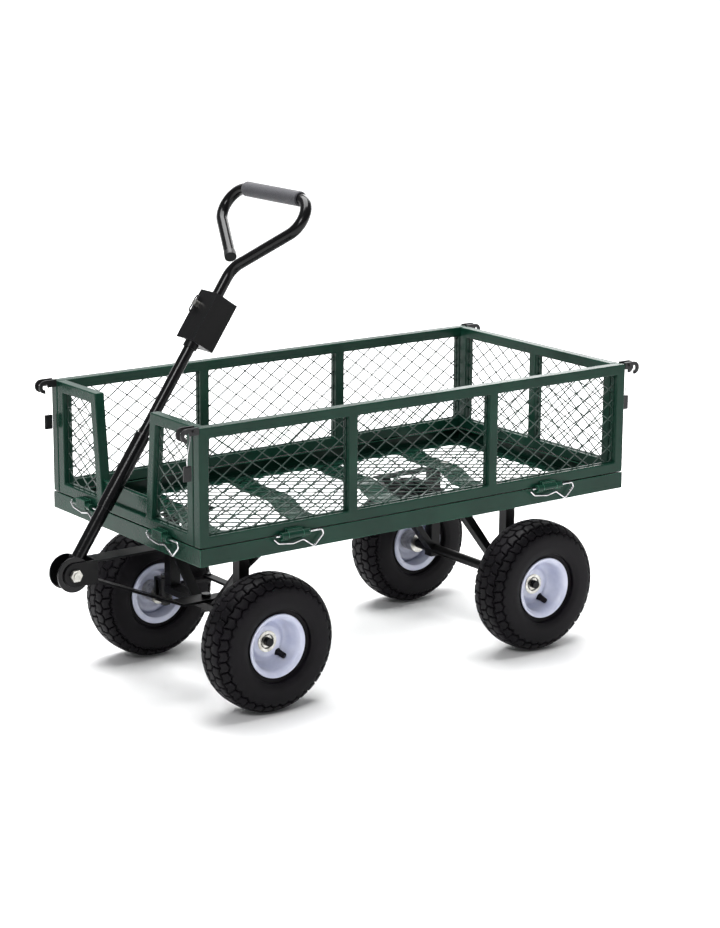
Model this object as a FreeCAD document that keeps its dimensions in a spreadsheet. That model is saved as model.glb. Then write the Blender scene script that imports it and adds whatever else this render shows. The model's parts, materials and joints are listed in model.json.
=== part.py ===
"""Garden cart: a mesh bed with fold-down sides on four wheels, pulled and steered by a drawbar
handle whose upper end also serves as a tow coupling.

Frame: millimetres, +Z up, +X from the handle end towards the rear, origin on the ground under the
middle of the overall length.  Left is -Y, as seen by someone pulling the cart.
"""
import FreeCAD, Part
import math
import os

import Sketcher
from FreeCAD import Placement, Rotation, Vector

DOC = FreeCAD.newDocument("GardenCart")

# --------------------------------------------------------------------------- driving dimensions
SIZES = [
    ("shift_x", 58, "ground origin to the middle of the bed"),
    ("bed_length", 995, "bed and side panels along X"),
    ("bed_width", 515, "bed across the side panels"),
    ("tray_low", 312, "underside of the tray rail above the ground"),
    ("tray_tall", 31.5, "height of the tray rail"),
    ("tray_sheet", 1.5, "sheet of the tray rail"),
    ("tray_lip", 20, "inward lip at the top of the tray rail"),
    ("tray_flange", 35, "inward flange at the bottom of the tray rail"),
    ("panel_gap", 2, "gap under and between the panels"),
    ("panel_top", 562, "top of the panels above the ground"),
    ("rail", 20, "square tube of the panels"),
    ("rail_wall", 1.5, "wall of that tube"),
    ("rail_round", 2, "rounding of that tube"),
    ("side_post", 165, "side panel's inner posts, from the middle"),
    ("notch_top", 96, "half width of the handle notch at its top"),
    ("notch_low", 76, "half width of the handle notch at its bottom"),
    ("mesh_long", 42.2, "panel mesh diamond, long way"),
    ("mesh_short", 30, "panel mesh diamond, short way"),
    ("mesh_strand", 1.8, "panel mesh strand width"),
    ("mesh_thick", 1.6, "panel mesh thickness"),
    ("mesh_rim", 1.5, "plain edge of a mesh sheet where it is welded"),
    ("floor_long", 50, "floor mesh diamond, long way"),
    ("floor_short", 35, "floor mesh diamond, short way"),
    ("floor_strand", 2.2, "floor mesh strand width"),
    ("floor_thick", 2, "floor mesh thickness"),
    ("strap_wide", 55, "width of a floor strap"),
    ("strap_thick", 3, "thickness of a floor strap"),
    ("strap_lead", 17, "first floor strap behind the front axle"),
    ("strap_trail", 18, "last floor strap behind the rear axle"),
    ("strap_joggle", 6, "step down from the rail to the shelf of a strap"),
    ("strap_dip", 21, "dip of the middle of a strap below its shelf"),
    ("front_axle", -320, "front axle from the middle of the bed"),
    ("rear_axle", 318, "rear axle from the middle of the bed"),
    ("wheel_room", 14, "kingpins to the inner face of the tyres"),
    ("wheel_radius", 130, "tyre outside radius"),
    ("wheel_width", 90, "tyre width"),
    ("bead_radius", 51, "radius where the tyre sits on the rim"),
    ("flange_radius", 61, "rim flange radius"),
    ("rim_half", 36, "rim flange face from the wheel's middle plane"),
    ("rim_sheet", 3, "rim sheet"),
    ("hub_radius", 20, "wheel hub outside radius"),
    ("axle_radius", 8, "radius of the stub axles"),
    ("running", 0.06, "radial clearance of whatever turns on a pin"),
    ("gap", 0.3, "clearance between faces that slide past each other"),
    ("hub_inner", 38, "hub end inboard of the wheel middle plane"),
    ("hub_outer", -8, "hub face that the nut bears on, outboard of the wheel middle plane"),
    ("axle_past", 18, "axle end beyond that face"),
    ("hub_collar", 9, "collar of the hub beyond that face, round the nut"),
    ("hub_recess", 14, "inside radius of that collar"),
    ("tie_pin", 4, "tie bar pin radius"),
    ("leg", 22, "square tube of the legs"),
    ("leg_wall", 2, "wall of that tube"),
    ("leg_room", 2, "outer face of the legs to the kingpin bosses"),
    ("foot_thick", 4, "mounting foot on top of a leg"),
    ("foot_wide", 22, "width of a mounting foot"),
    ("beam", 30, "width of the front axle beam and height of its kingpin bosses"),
    ("beam_tall", 14, "height of the front axle beam"),
    ("brace_thick", 5, "flat bar of the braces"),
    ("rod_radius", 10, "rear axle rod radius between the wheels"),
    ("kingpin_out", 145, "kingpins from the middle of the cart"),
    ("boss_radius", 13, "kingpin boss radius"),
    ("boss_over", 3, "boss beyond the beam, above and below"),
    ("pin_radius", 5, "kingpin and steering pin radius"),
    ("knuckle_plate", 5, "plate of the steering knuckles"),
    ("arm_back", 98, "steering arm length behind the axle"),
    ("arm_wide", 18, "steering arm width"),
    ("bar_plate", 5, "thickness of the lower drawbar arm and the tie bar"),
    ("bar_wide", 40, "drawbar arm width"),
    ("upper_plate", 4, "thickness of the upper drawbar arm"),
    ("pivot_ahead", 116, "handle pivot ahead of the bed"),
    ("pivot_z", 261, "handle pivot above the ground"),
    ("bracket_half", 22, "half height of the handle bracket"),
    ("bracket_deep", 47.5, "handle pivot to the back of its bracket"),
    ("bracket_plate", 4, "plate of the handle bracket"),
    ("disc_radius", 33, "round ears at the foot of the handle"),
    ("ear_room", 4.5, "outer face of the ears beyond the side of the lower tube"),
    ("disc_plate", 3, "thickness of the ears"),
    ("pivot_radius", 6, "handle pivot bolt radius"),
    ("handle_lean", 34.15, "lean of the handle over the bed, from upright, degrees"),
    ("lower_wall", 2, "wall of the lower handle tube, which takes the upper tube"),
    ("upper_tube", 10.5, "upper handle tube radius"),
    ("tube_wall", 1.6, "wall of the upper handle tube"),
    ("sleeve_from", 133, "start of the clamp sleeve along the handle"),
    ("sleeve_to", 285, "end of the clamp sleeve along the handle"),
    ("sleeve_wall", 1.8, "wall of the clamp sleeve"),
    ("hitch_from", 478, "start of the tow coupling along the handle"),
    ("hitch_to", 577, "end of the tow coupling along the handle"),
    ("hitch_near", 21, "near wall of the tow coupling from the handle axis"),
    ("hitch_far", 35, "far edge of the tow coupling from the handle axis"),
    ("hitch_front", 15, "tow coupling ahead of the handle axis"),
    ("hitch_deep", 36, "tow coupling behind the handle axis"),
    ("hitch_plate", 3, "plate of the tow coupling"),
    ("tow_radius", 6, "tow pin radius"),
    ("tow_side", 22, "tow pin beside the handle axis"),
    ("tow_up", 547, "tow pin along the handle"),
    ("kink_up", 634, "where the loop leaves the handle axis"),
    ("grip_up", 794, "grip axis along the handle"),
    ("loop_angle", 38.4, "slope of the loop's arms, degrees"),
    ("loop_bend", 39.8, "bend radius of the loop's corners"),
    ("loop_off", -6, "middle of the loop from the handle axis, along Y"),
    ("tail_end", 36.7, "cut end of the loop, from the kink"),
    ("grip_half", 90, "half length of the foam grip"),
    ("foam_thick", 3.5, "wall of the foam grip"),
    ("lug_room", 0.5, "hinge lugs to the panel face"),
    ("hinge_wire", 1.6, "hinge clip wire radius"),
    ("lug_radius", 6.5, "hinge lug radius"),
    ("lug_long", 32, "panel lug length along the hinge"),
    ("lug_plate", 14, "tray lug thickness along the hinge"),
    ("side_hinge", 300, "side hinges from the middle of the bed"),
    ("end_hinge", 135, "end hinges from the middle of the cart"),
    ("plate_back", 7, "notch plate behind the front panel's face"),
    ("plate_top", 399, "axis of the notch plate's rolled edge above the ground"),
    ("hook_radius", 12.5, "outside radius of a corner hook"),
    ("hook_eye", 5.5, "inside radius of a corner hook"),
    ("hook_out", 24, "middle of a corner hook beyond the panel end"),
    ("hook_drop", 10, "middle of a corner hook below the panel top"),
    ("hook_plate", 4, "plate of a corner hook"),
    ("bail_radius", 2.5, "radius of the bolt across a pair of hooks"),
    ("bail_out", 11, "that bolt beyond the panel end"),
    ("lanyard_radius", 0.9, "radius of a pull wire"),
    ("tab_tall", 28, "height of a pull tab"),
    ("tab_wide", 16, "width of a pull tab"),
    ("tab_thick", 5, "thickness of a pull tab"),
    ("strap_first", "=front_axle + strap_lead", "first floor strap from the middle of the bed"),
    ("strap_pitch", "=(rear_axle + strap_trail - strap_first) / 3", "from strap to strap"),
    ("wheel_track", "=kingpin_out + wheel_room + wheel_width / 2",
     "wheel middle plane from the middle of the cart"),
    ("leg_out", "=kingpin_out - boss_radius - leg_room - leg / 2", "legs from the middle of the cart"),
    ("pivot_x", "=-(bed_length / 2) - pivot_ahead", "handle pivot from the middle of the bed"),
    ("lower_tube", "=upper_tube + lower_wall", "lower handle tube radius"),
    ("disc_out", "=lower_tube + ear_room", "outer face of the ears from the middle"),
    ("grip_radius", "=upper_tube + foam_thick", "foam grip radius"),
    ("hinge_off", "=lug_radius + lug_room", "hinge axis outside the panel face"),
]

SHEET = DOC.addObject("Spreadsheet::Sheet", "Sizes")
for row, (alias, amount, note) in enumerate(SIZES, start=1):
    SHEET.set(f"A{row}", alias)
    SHEET.set(f"B{row}", str(amount))
    SHEET.set(f"C{row}", note)
    SHEET.setAlias(f"B{row}", alias)
DOC.recompute()


def size(alias):
    """The number in one named cell."""
    return float(SHEET.get(alias))


# --------------------------------------------------------------------------- document helpers
NODES = []


def bind(item, **links):
    """Tie properties to formulas of the sheet; $name means the cell called name."""
    for path, formula in links.items():
        item.setExpression(path.replace("__", "."), formula.replace("$", "Sizes."))


def node(item, label, x="0", y="0", z="0"):
    """Name a finished sub-part and set it in the cart's frame, given its place from the bed."""
    item.Label = label
    bind(item, Placement__Base__x=f"$shift_x + ({x})", Placement__Base__y=y, Placement__Base__z=z)
    NODES.append(item)
    return item


def block(x, y, z, name="Block"):
    """A rectangular solid between two formulas on each axis."""
    item = DOC.addObject("Part::Box", name)
    bind(item, Length=f"({x[1]}) - ({x[0]})", Width=f"({y[1]}) - ({y[0]})",
         Height=f"({z[1]}) - ({z[0]})", Placement__Base__x=x[0], Placement__Base__y=y[0],
         Placement__Base__z=z[0])
    return item


TURN = {"x": Rotation(Vector(0, 1, 0), 90), "y": Rotation(Vector(1, 0, 0), -90), "z": Rotation()}


def rod(along, span, first, second, radius, name="Rod"):
    """A cylinder along one axis between two formulas, with its other two coordinates in X, Y, Z
    order."""
    item = DOC.addObject("Part::Cylinder", name)
    item.Placement = Placement(Vector(), TURN[along])
    base = {"x": (span[0], first, second), "y": (first, span[0], second),
            "z": (first, second, span[0])}[along]
    bind(item, Radius=radius, Height=f"({span[1]}) - ({span[0]})", Placement__Base__x=base[0],
         Placement__Base__y=base[1], Placement__Base__z=base[2])
    return item


def hexagon(along, start, height, first, second, radius, name="Hexagon"):
    """A bolt head or nut: a six-sided prism along one axis."""
    item = DOC.addObject("Part::Prism", name)
    item.Placement = Placement(Vector(), TURN[along])
    base = {"x": (start, first, second), "y": (first, start, second),
            "z": (first, second, start)}[along]
    bind(item, Circumradius=radius, Height=height, Placement__Base__x=base[0],
         Placement__Base__y=base[1], Placement__Base__z=base[2])
    return item


def join(items, name="Joined"):
    """One solid made of touching or overlapping solids."""
    item = DOC.addObject("Part::MultiFuse", name)
    item.Shapes = items
    item.Refine = True
    return item


def cut(base, tools, name="Cut"):
    """One solid less one or several others."""
    item = DOC.addObject("Part::Cut", name)
    item.Base = base
    item.Tool = tools[0] if len(tools) == 1 else join(tools, name + "Tools")
    return item


def group(items, name="Group"):
    """Separate solids that share one node."""
    item = DOC.addObject("Part::Compound", name)
    item.Links = items
    return item


def origin_plane(body, role):
    """One of a body's own origin planes."""
    return next(plane for plane in body.Origin.OriginFeatures if plane.Role == role)


def outline(body, role, loops, offset="0"):
    """A sketch of closed straight-sided loops, each corner a pair of formulas."""
    sketch = body.newObject("Sketcher::SketchObject", "Outline")
    sketch.AttachmentSupport = [(origin_plane(body, role), "")]
    sketch.MapMode = "FlatFace"
    bind(sketch, AttachmentOffset__Base__z=offset)
    corners = []
    for number, loop in enumerate(loops, start=1):
        first, count = sketch.GeometryCount, len(loop)
        angles = [2 * math.pi * step / count for step in range(count)]
        start = [Vector(100 * number * math.cos(a), 100 * number * math.sin(a)) for a in angles]
        for step in range(count):
            sketch.addGeometry(Part.LineSegment(start[step], start[(step + 1) % count]), False)
        for step, place in enumerate(loop):
            here, after = first + step, first + (step + 1) % count
            sketch.addConstraint(Sketcher.Constraint("Coincident", here, 2, after, 1))
            for kind, where, formula in (("DistanceX", start[step].x, place[0]),
                                         ("DistanceY", start[step].y, place[1])):
                rule = Sketcher.Constraint(kind, -1, 1, here, 1, where)
                corners.append((sketch.addConstraint(rule), formula))
    for index, formula in corners:
        sketch.setExpression(f"Constraints[{index}]", formula.replace("$", "Sizes."))
    return sketch


def padded_body(name, role, loops, offset, thick, rounding=None, reverse=False):
    """A PartDesign body: closed loops on an origin plane, padded, with all edges rounded or not."""
    body = DOC.addObject("PartDesign::Body", name)
    pad = body.newObject("PartDesign::Pad", "Pad")
    pad.Profile = outline(body, role, loops, offset)
    pad.Reversed = reverse
    bind(pad, Length=thick)
    if rounding:
        DOC.recompute()
        edges = body.newObject("PartDesign::Fillet", "Rounding")
        edges.Base = (pad, [""])
        edges.UseAllEdges = True
        bind(edges, Radius=rounding)
    return body


def turned_body(name, loop):
    """A PartDesign body turned about Y: the loop's corners are (along Y, radius)."""
    body = DOC.addObject("PartDesign::Body", name)
    turn = body.newObject("PartDesign::Revolution", "Turn")
    sketch = outline(body, "YZ_Plane", [loop])
    turn.Profile = sketch
    turn.ReferenceAxis = (sketch, ["H_Axis"])
    turn.Angle = 360
    return body


def rectangle(u, v):
    """The four corners of a rectangle between two formulas each way."""
    return [(u[0], v[0]), (u[1], v[0]), (u[1], v[1]), (u[0], v[1])]


def feature(shape, name="Shape"):
    """A Part::Feature for a shape made with Part's own functions."""
    item = DOC.addObject("Part::Feature", name)
    item.Shape = shape
    return item


def bent_path(points, bends):
    """Straight runs joined by tangent arcs: points, and a bend radius for each inner point."""
    edges, last = [], points[0]
    for before, here, after, bend in zip(points, points[1:], points[2:], bends):
        back, ahead = (before - here).normalize(), (after - here).normalize()
        half = back.getAngle(ahead) / 2
        reach = bend / math.tan(half)
        middle = here + (back + ahead).normalize() * (bend / math.sin(half) - bend)
        edges.append(Part.LineSegment(last, here + back * reach).toShape())
        last = here + ahead * reach
        edges.append(Part.Arc(here + back * reach, middle, last).toShape())
    edges.append(Part.LineSegment(last, points[-1]).toShape())
    return Part.Wire(edges)


def swept(path, profile):
    """A closed profile carried along a path into a solid."""
    solid = path.makePipeShell([profile], True, False)
    return solid if solid.Volume > 0 else solid.reversed()


def wire_rod(points, bends, radius):
    """A round bar along a bent path."""
    path = bent_path(points, bends)
    start = (points[1] - points[0]).normalize()
    return swept(path, Part.Wire(Part.makeCircle(radius, points[0], start)))


def clipped(corners, window):
    """The part of a convex outline inside a convex window, both as lists of (u, v)."""
    for (ax, ay), (bx, by) in zip(window, window[1:] + window[:1]):
        kept = []
        side = [(bx - ax) * (v - ay) - (by - ay) * (u - ax) for u, v in corners]
        for step, (u, v) in enumerate(corners):
            ahead = (step + 1) % len(corners)
            if side[step] >= 0:
                kept.append((u, v))
            if side[step] * side[ahead] < 0:
                share = side[step] / (side[step] - side[ahead])
                kept.append((u + share * (corners[ahead][0] - u), v + share * (corners[ahead][1] - v)))
        corners = kept
        if len(corners) < 3:
            return []
    return corners


def area(corners):
    """The area of a flat outline."""
    pairs = zip(corners, corners[1:] + corners[:1])
    return abs(sum(u * q - p * v for (u, v), (p, q) in pairs)) / 2


def inset(window, rim):
    """A convex anticlockwise window moved inwards by the width of its rim."""
    lines = []
    for (ax, ay), (bx, by) in zip(window, window[1:] + window[:1]):
        run = math.hypot(bx - ax, by - ay)
        lines.append((-(by - ay) / run, (bx - ax) / run, ax, ay))
    inner = []
    for (nx, ny, ax, ay), (mx, my, bx, by) in zip(lines[-1:] + lines[:-1], lines):
        first = nx * ax + ny * ay + rim
        second = mx * bx + my * by + rim
        spread = nx * my - ny * mx
        inner.append(((first * my - second * ny) / spread, (nx * second - mx * first) / spread))
    return inner


def mesh_sheet(window, long_way, short_way, strand, thick, to_space, middle=(0, 0)):
    """A sheet of diamond mesh that fills a convex window, its diamonds' long way along u."""
    inner = inset(window, size("mesh_rim"))
    slope = math.atan2(short_way, long_way)
    half_u = long_way / 2 - strand / 2 / math.sin(slope)
    half_v = short_way / 2 - strand / 2 / math.cos(slope)
    wide = max(abs(u - middle[0]) for u, _ in window) + long_way
    tall = max(abs(v - middle[1]) for _, v in window) + short_way
    columns, rows = int(2 * wide / long_way), int(2 * tall / short_way)
    wires = [Part.makePolygon([to_space(u, v) for u, v in window + window[:1]])]
    for column in range(-columns, columns + 1):
        for row in range(-rows, rows + 1):
            if (column + row) % 2 == 0:
                continue
            u, v = middle[0] + column * long_way / 2, middle[1] + row * short_way / 2
            diamond = [(u - half_u, v), (u, v - half_v), (u + half_u, v), (u, v + half_v)]
            opening = clipped(diamond, inner)
            if len(opening) > 2 and area(opening) > 4:
                wires.append(Part.makePolygon([to_space(p, q) for p, q in opening + opening[:1]]))
    face = Part.makeFace(wires, "Part::FaceMakerBullseye")
    push = to_space(0, 0, thick) - to_space(0, 0)
    return face.extrude(push)


# --------------------------------------------------------------------------- bed
def bed_tray():
    """The rail round the bed: a channel folded from sheet, open inwards, with its hinge lugs."""
    half, side = "$bed_length / 2", "$bed_width / 2"
    low, high = "$tray_low", "$tray_low + $tray_tall"

    def ring(inward, start, end, name):
        return block((f"-{half} + {inward}", f"{half} - {inward}"),
                     (f"-{side} + {inward}", f"{side} - {inward}"), (start, end), name)

    outside = ring("0", low, high, "TrayOutside")
    hollow = [ring("$tray_sheet", f"{low} + $tray_sheet", f"{high} - $tray_sheet", "TrayHollow"),
              ring("$tray_lip", f"{high} - 2 * $tray_sheet", f"{high} + 1", "TrayMouth"),
              ring("$tray_flange", f"{low} - 1", f"{low} + 2 * $tray_sheet", "TrayFloor")]
    parts = [cut(outside, hollow, "TrayRail")]
    for along, across, where, outward in HINGES:
        for step in ("-1", "1"):
            middle = f"{where} + {step} * ($lug_long / 2 + $gap + $lug_plate / 2)"
            span = (f"{middle} - $lug_plate / 2", f"{middle} + $lug_plate / 2")
            parts.append(hinge_lug(along, across, outward, span, "-1", "$hinge_wire"))
    roll, reach = "(-$bed_length / 2 + $rail + 1.5)", ("-$end_hinge - 40", "$end_hinge + 40")
    parts.append(block(("-$bed_length / 2 + $rail / 2", roll), reach, (f"{high} - $tray_sheet", high),
                       "FrontRollSeat"))
    parts.append(rod("y", reach, roll, HINGE_Z, "2", "FrontRoll"))
    node(join(parts, "Tray"), "bed_tray")


HINGE_Z = "$tray_low + $tray_tall + $panel_gap / 2"
FACE_SIDE = "$bed_width / 2"
FACE_END = "$bed_length / 2"
HINGES = [(along, face, f"{end} * {where}", sign)
          for along, face, where, signs in (("x", FACE_SIDE, "$side_hinge", ("-1", "1")),
                                            ("y", FACE_END, "$end_hinge", ("-1", "1")))
          for sign in signs for end in ("-1", "1")]


def hinge_lug(along, face, outward, span, up, hole):
    """A round-ended lug on a vertical face, below or above its hinge axis, with the axis hole."""
    axis = f"{outward} * ({face} + $hinge_off)"
    wall = f"{outward} * {face}"
    across = (wall, axis) if outward == "1" else (axis, wall)
    tall = ((HINGE_Z, f"{HINGE_Z} + $lug_radius + 4") if up == "1"
            else (f"{HINGE_Z} - $lug_radius - 2", HINGE_Z))
    end = rod(along, span, axis, HINGE_Z, "$lug_radius", "LugEnd")
    root = block(span, across, tall, "LugRoot") if along == "x" else block(across, span, tall, "LugRoot")
    drill = rod(along, (f"{span[0]} - 1", f"{span[1]} + 1"), axis, HINGE_Z, hole, "LugHole")
    return cut(join([end, root], "Lug"), [drill], "DrilledLug")


def bed_floor():
    """The mesh that carries the load, welded on the rail's bottom flange, and its four straps."""
    edge = size("tray_sheet") + size("gap")
    half, side = size("bed_length") / 2 - edge, size("bed_width") / 2 - edge
    level = size("tray_low") + size("tray_sheet")
    window = [(-half, -side), (half, -side), (half, side), (-half, side)]
    sheet = mesh_sheet(window, size("floor_long"), size("floor_short"), size("floor_strand"),
                       size("floor_thick"), lambda u, v, w=0: Vector(u, v, level + w))
    node(feature(sheet, "FloorMesh"), "bed_floor_mesh")

    thick, wide = size("strap_thick"), size("strap_wide")
    top = size("tray_low") - thick / 2
    shelf, dip = top - size("strap_joggle"), top - size("strap_joggle") - size("strap_dip")
    half_strap = [(side - 12, top), (side - 42, top), (side - 66, shelf), (size("leg_out") - 30, shelf),
                  (44, dip)]
    points = [Vector(0, -y, z) for y, z in half_strap] + [Vector(0, y, z) for y, z in half_strap[::-1]]
    bends = [40, 40, 70, 70, 70, 70, 40, 40]
    straps = []
    for number in range(4):
        x = size("strap_first") + number * size("strap_pitch")
        place = [point + Vector(x, 0, 0) for point in points]
        corners = [place[0] + Vector(i * wide / 2, 0, j * thick / 2)
                   for i, j in ((-1, -1), (1, -1), (1, 1), (-1, 1), (-1, -1))]
        straps.append(swept(bent_path(place, bends), Part.makePolygon(corners)))
    holes = [(size("front_axle"), 0, dip, size("pin_radius"))]
    holes += [(x, sign * size("leg_out"), shelf, 4) for x in (size("front_axle") + 31,
                                                            size("rear_axle") + 28)
              for sign in (-1, 1)]
    drills = [Part.makeCylinder(radius, 4 * thick, Vector(x, y, z - 2 * thick))
              for x, y, z, radius in holes]
    straps = [strap.cut(drills) for strap in straps]
    node(feature(Part.makeCompound(straps), "Straps"), "bed_floor_straps")


def strap_shelf():
    """Underside of a strap's shelf, where the legs' feet are bolted."""
    return "$tray_low - $strap_thick - $strap_joggle"


def strap_bottom():
    """Underside of a strap's dipped middle."""
    return "$tray_low - $strap_thick - $strap_joggle - $strap_dip"


def hinge_clips():
    """Spring wire clips: a straight leg through the lugs and a wavy leg that grips from outside."""
    leg = [(0, 0), (101, 0), (105, 9), (84, 29), (60, 12.5), (38, 17), (6, 13), (-4, 4)]
    bends = [4, 5, 5, 7, 9, 4]
    level = size("tray_low") + size("tray_tall") + size("panel_gap") / 2
    middle = 42
    clips = []
    for end in (-1, 1):
        for side in (-1, 1):
            y = side * (size("bed_width") / 2 + size("hinge_off"))
            start = end * size("side_hinge") - middle
            clips.append([Vector(start + u, y, level - w) for u, w in leg])
            y_end = side * size("end_hinge")
            x = size("bed_length") / 2 + size("hinge_off")
            clips.append([Vector(end * x, y_end + middle - u, level - w) for u, w in leg])
    wires = [wire_rod(points, bends, size("hinge_wire")) for points in clips]
    node(feature(Part.makeCompound(wires), "Clips"), "hinge_clips")


# --------------------------------------------------------------------------- panels
PANEL_LOW = "$tray_low + $tray_tall + $panel_gap"


def side_panel(side, label):
    """A side panel: a full-length tube frame with two inner posts, three mesh windows and two lugs."""
    half = "$bed_length / 2"
    ends = [f"-{half}", "-$side_post - $rail / 2", "$side_post - $rail / 2", f"{half} - $rail"]
    starts = [f"-{half} + $rail", "-$side_post + $rail / 2", "$side_post + $rail / 2"]
    stops = ["-$side_post - $rail / 2", "$side_post - $rail / 2", f"{half} - $rail"]
    floor, top = f"{PANEL_LOW} + $rail", "$panel_top - $rail"
    loops = [rectangle((f"-{half}", half), (PANEL_LOW, "$panel_top"))]
    loops += [rectangle((start, stop), (floor, top)) for start, stop in zip(starts, stops)]
    # The XZ plane looks along -Y, so a positive offset is on the left side.
    offset = "$bed_width / 2 - $rail" if side == "-1" else "-$bed_width / 2"
    body = padded_body(f"SideFrame{label}", "XZ_Plane", loops, offset, "$rail", "$rail_round")
    face = f"{side} * $bed_width / 2"
    inner = f"{side} * ($bed_width / 2 - $rail)"
    low, high = (face, inner) if side == "-1" else (inner, face)
    bore = (f"{low} + $rail_wall", f"{high} - $rail_wall")
    wall = "$rail_wall"
    tubes = [block((f"-{half} + {wall}", f"{half} - {wall}"), bore,
                   (f"{base} + {wall}", f"{base} + $rail - {wall}"), "RailBore")
             for base in (PANEL_LOW, "$panel_top - $rail")]
    tubes += [block((f"{end} + {wall}", f"{end} + $rail - {wall}"), bore,
                    (f"{PANEL_LOW} + {wall}", f"$panel_top - {wall}"), "PostBore") for end in ends]
    tubes += [rod("z", (f"{PANEL_LOW} - 1", f"{PANEL_LOW} + $rail / 2"), f"{end} * $side_post / 2",
                  f"{side} * ($bed_width / 2 - $rail / 2)", "3", "Drain") for end in ("-1", "1")]
    parts = [cut(body, tubes, f"SideTubes{label}")]
    for end in ("-1", "1"):
        where = f"{end} * $side_hinge"
        span = (f"{where} - $lug_long / 2", f"{where} + $lug_long / 2")
        parts.append(hinge_lug("x", FACE_SIDE, side, span, "1", "$hinge_wire + $running"))
    node(join(parts, f"SidePanel{label}"), f"side_frame_{label}")

    sign = float(side)
    y = sign * (size("bed_width") / 2 - size("rail") / 2) - size("mesh_thick") / 2
    level = size("tray_low") + size("tray_tall") + size("panel_gap") + size("rail")
    ceiling = size("panel_top") - size("rail")
    edge, post, tube = size("bed_length") / 2, size("side_post"), size("rail")
    windows = [(-edge + tube, -post - tube / 2), (-post + tube / 2, post - tube / 2),
               (post + tube / 2, edge - tube)]
    sheets = [mesh_sheet([(a, level), (b, level), (b, ceiling), (a, ceiling)], size("mesh_long"),
                         size("mesh_short"), size("mesh_strand"), size("mesh_thick"),
                         lambda u, v, w=0: Vector(u, y + w, v), (0, (level + ceiling) / 2))
              for a, b in windows]
    node(feature(Part.makeCompound(sheets), f"SideMesh{label}"), f"side_mesh_{label}")


def end_window(sheet_windows, face):
    """Mesh sheets in the middle of an end panel, whose outer face is at x = face."""
    inward = -1 if face > 0 else 1
    x = face + inward * size("rail") / 2 - size("mesh_thick") / 2
    middle = (0, size("panel_top") - size("rail") - size("mesh_short"))
    return Part.makeCompound([
        mesh_sheet(window, size("mesh_long"), size("mesh_short"), size("mesh_strand"),
                   size("mesh_thick"), lambda u, v, w=0: Vector(x + w, u, v), middle)
        for window in sheet_windows])


def rear_panel():
    """The rear panel, between the side panels: a tube frame with a middle post."""
    edge = "$bed_width / 2 - $rail - $panel_gap"
    floor, top = f"{PANEL_LOW} + $rail", "$panel_top - $rail"
    loops = [rectangle((f"-({edge})", edge), (PANEL_LOW, "$panel_top")),
             rectangle((f"-({edge}) + $rail", "-$rail / 2"), (floor, top)),
             rectangle(("$rail / 2", f"{edge} - $rail"), (floor, top))]
    body = padded_body("RearFrame", "YZ_Plane", loops, "$bed_length / 2 - $rail", "$rail",
                       "$rail_round")
    wall = "$rail_wall"
    bore = (f"$bed_length / 2 - $rail + {wall}", f"$bed_length / 2 - {wall}")
    tubes = [block(bore, (f"-({edge}) + {wall}", f"{edge} - {wall}"),
                   (f"{base} + {wall}", f"{base} + $rail - {wall}"), "RailBore")
             for base in (PANEL_LOW, "$panel_top - $rail")]
    tubes += [block(bore, (f"{end} + {wall}", f"{end} + $rail - {wall}"),
                    (f"{PANEL_LOW} + {wall}", f"$panel_top - {wall}"), "PostBore")
              for end in (f"-({edge})", "-$rail / 2", f"{edge} - $rail")]
    tubes += [rod("z", (f"{PANEL_LOW} - 1", f"{PANEL_LOW} + $rail / 2"),
                  "$bed_length / 2 - $rail / 2", f"{end} * $end_hinge / 2", "3", "Drain")
              for end in ("-1", "1")]
    parts = [cut(body, tubes, "RearTubes")]
    for end in ("-1", "1"):
        where = f"{end} * $end_hinge"
        span = (f"{where} - $lug_long / 2", f"{where} + $lug_long / 2")
        parts.append(hinge_lug("y", FACE_END, "1", span, "1", "$hinge_wire + $running"))
    node(join(parts, "RearPanel"), "rear_frame")

    tube = size("rail")
    level = size("tray_low") + size("tray_tall") + size("panel_gap") + tube
    ceiling = size("panel_top") - tube
    outer = size("bed_width") / 2 - 2 * tube - size("panel_gap")
    windows = [[(a, level), (b, level), (b, ceiling), (a, ceiling)]
               for a, b in ((-outer, -tube / 2), (tube / 2, outer))]
    node(feature(end_window(windows, size("bed_length") / 2), "RearMesh"), "rear_mesh")


def front_fork(span):
    """A tab that straddles a front clip from above, so the panel lifts off it as it folds inwards."""
    axis = "-($bed_length / 2 + $hinge_off)"
    slot_half = "($hinge_wire + 0.9)"
    tab = block((f"{axis} - $lug_radius", "-$bed_length / 2"), span,
                (f"{HINGE_Z} - $lug_radius", f"{HINGE_Z} + $lug_radius + 4"), "Fork")
    slot = block((f"{axis} - {slot_half}", f"{axis} + {slot_half}"),
                 (f"{span[0]} - 1", f"{span[1]} + 1"),
                 (f"{HINGE_Z} - $lug_radius - 1", f"{HINGE_Z} + {slot_half}"), "ForkSlot")
    relief = block(("-$bed_length / 2 - 0.5", "-$bed_length / 2 + 1"),
                   (f"{span[0]} - 1", f"{span[1]} + 1"),
                   (f"{HINGE_Z} - $lug_radius - 1", f"{PANEL_LOW} - 0.5"), "ForkRelief")
    return cut(tab, [slot, relief], "SlottedFork")


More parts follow.
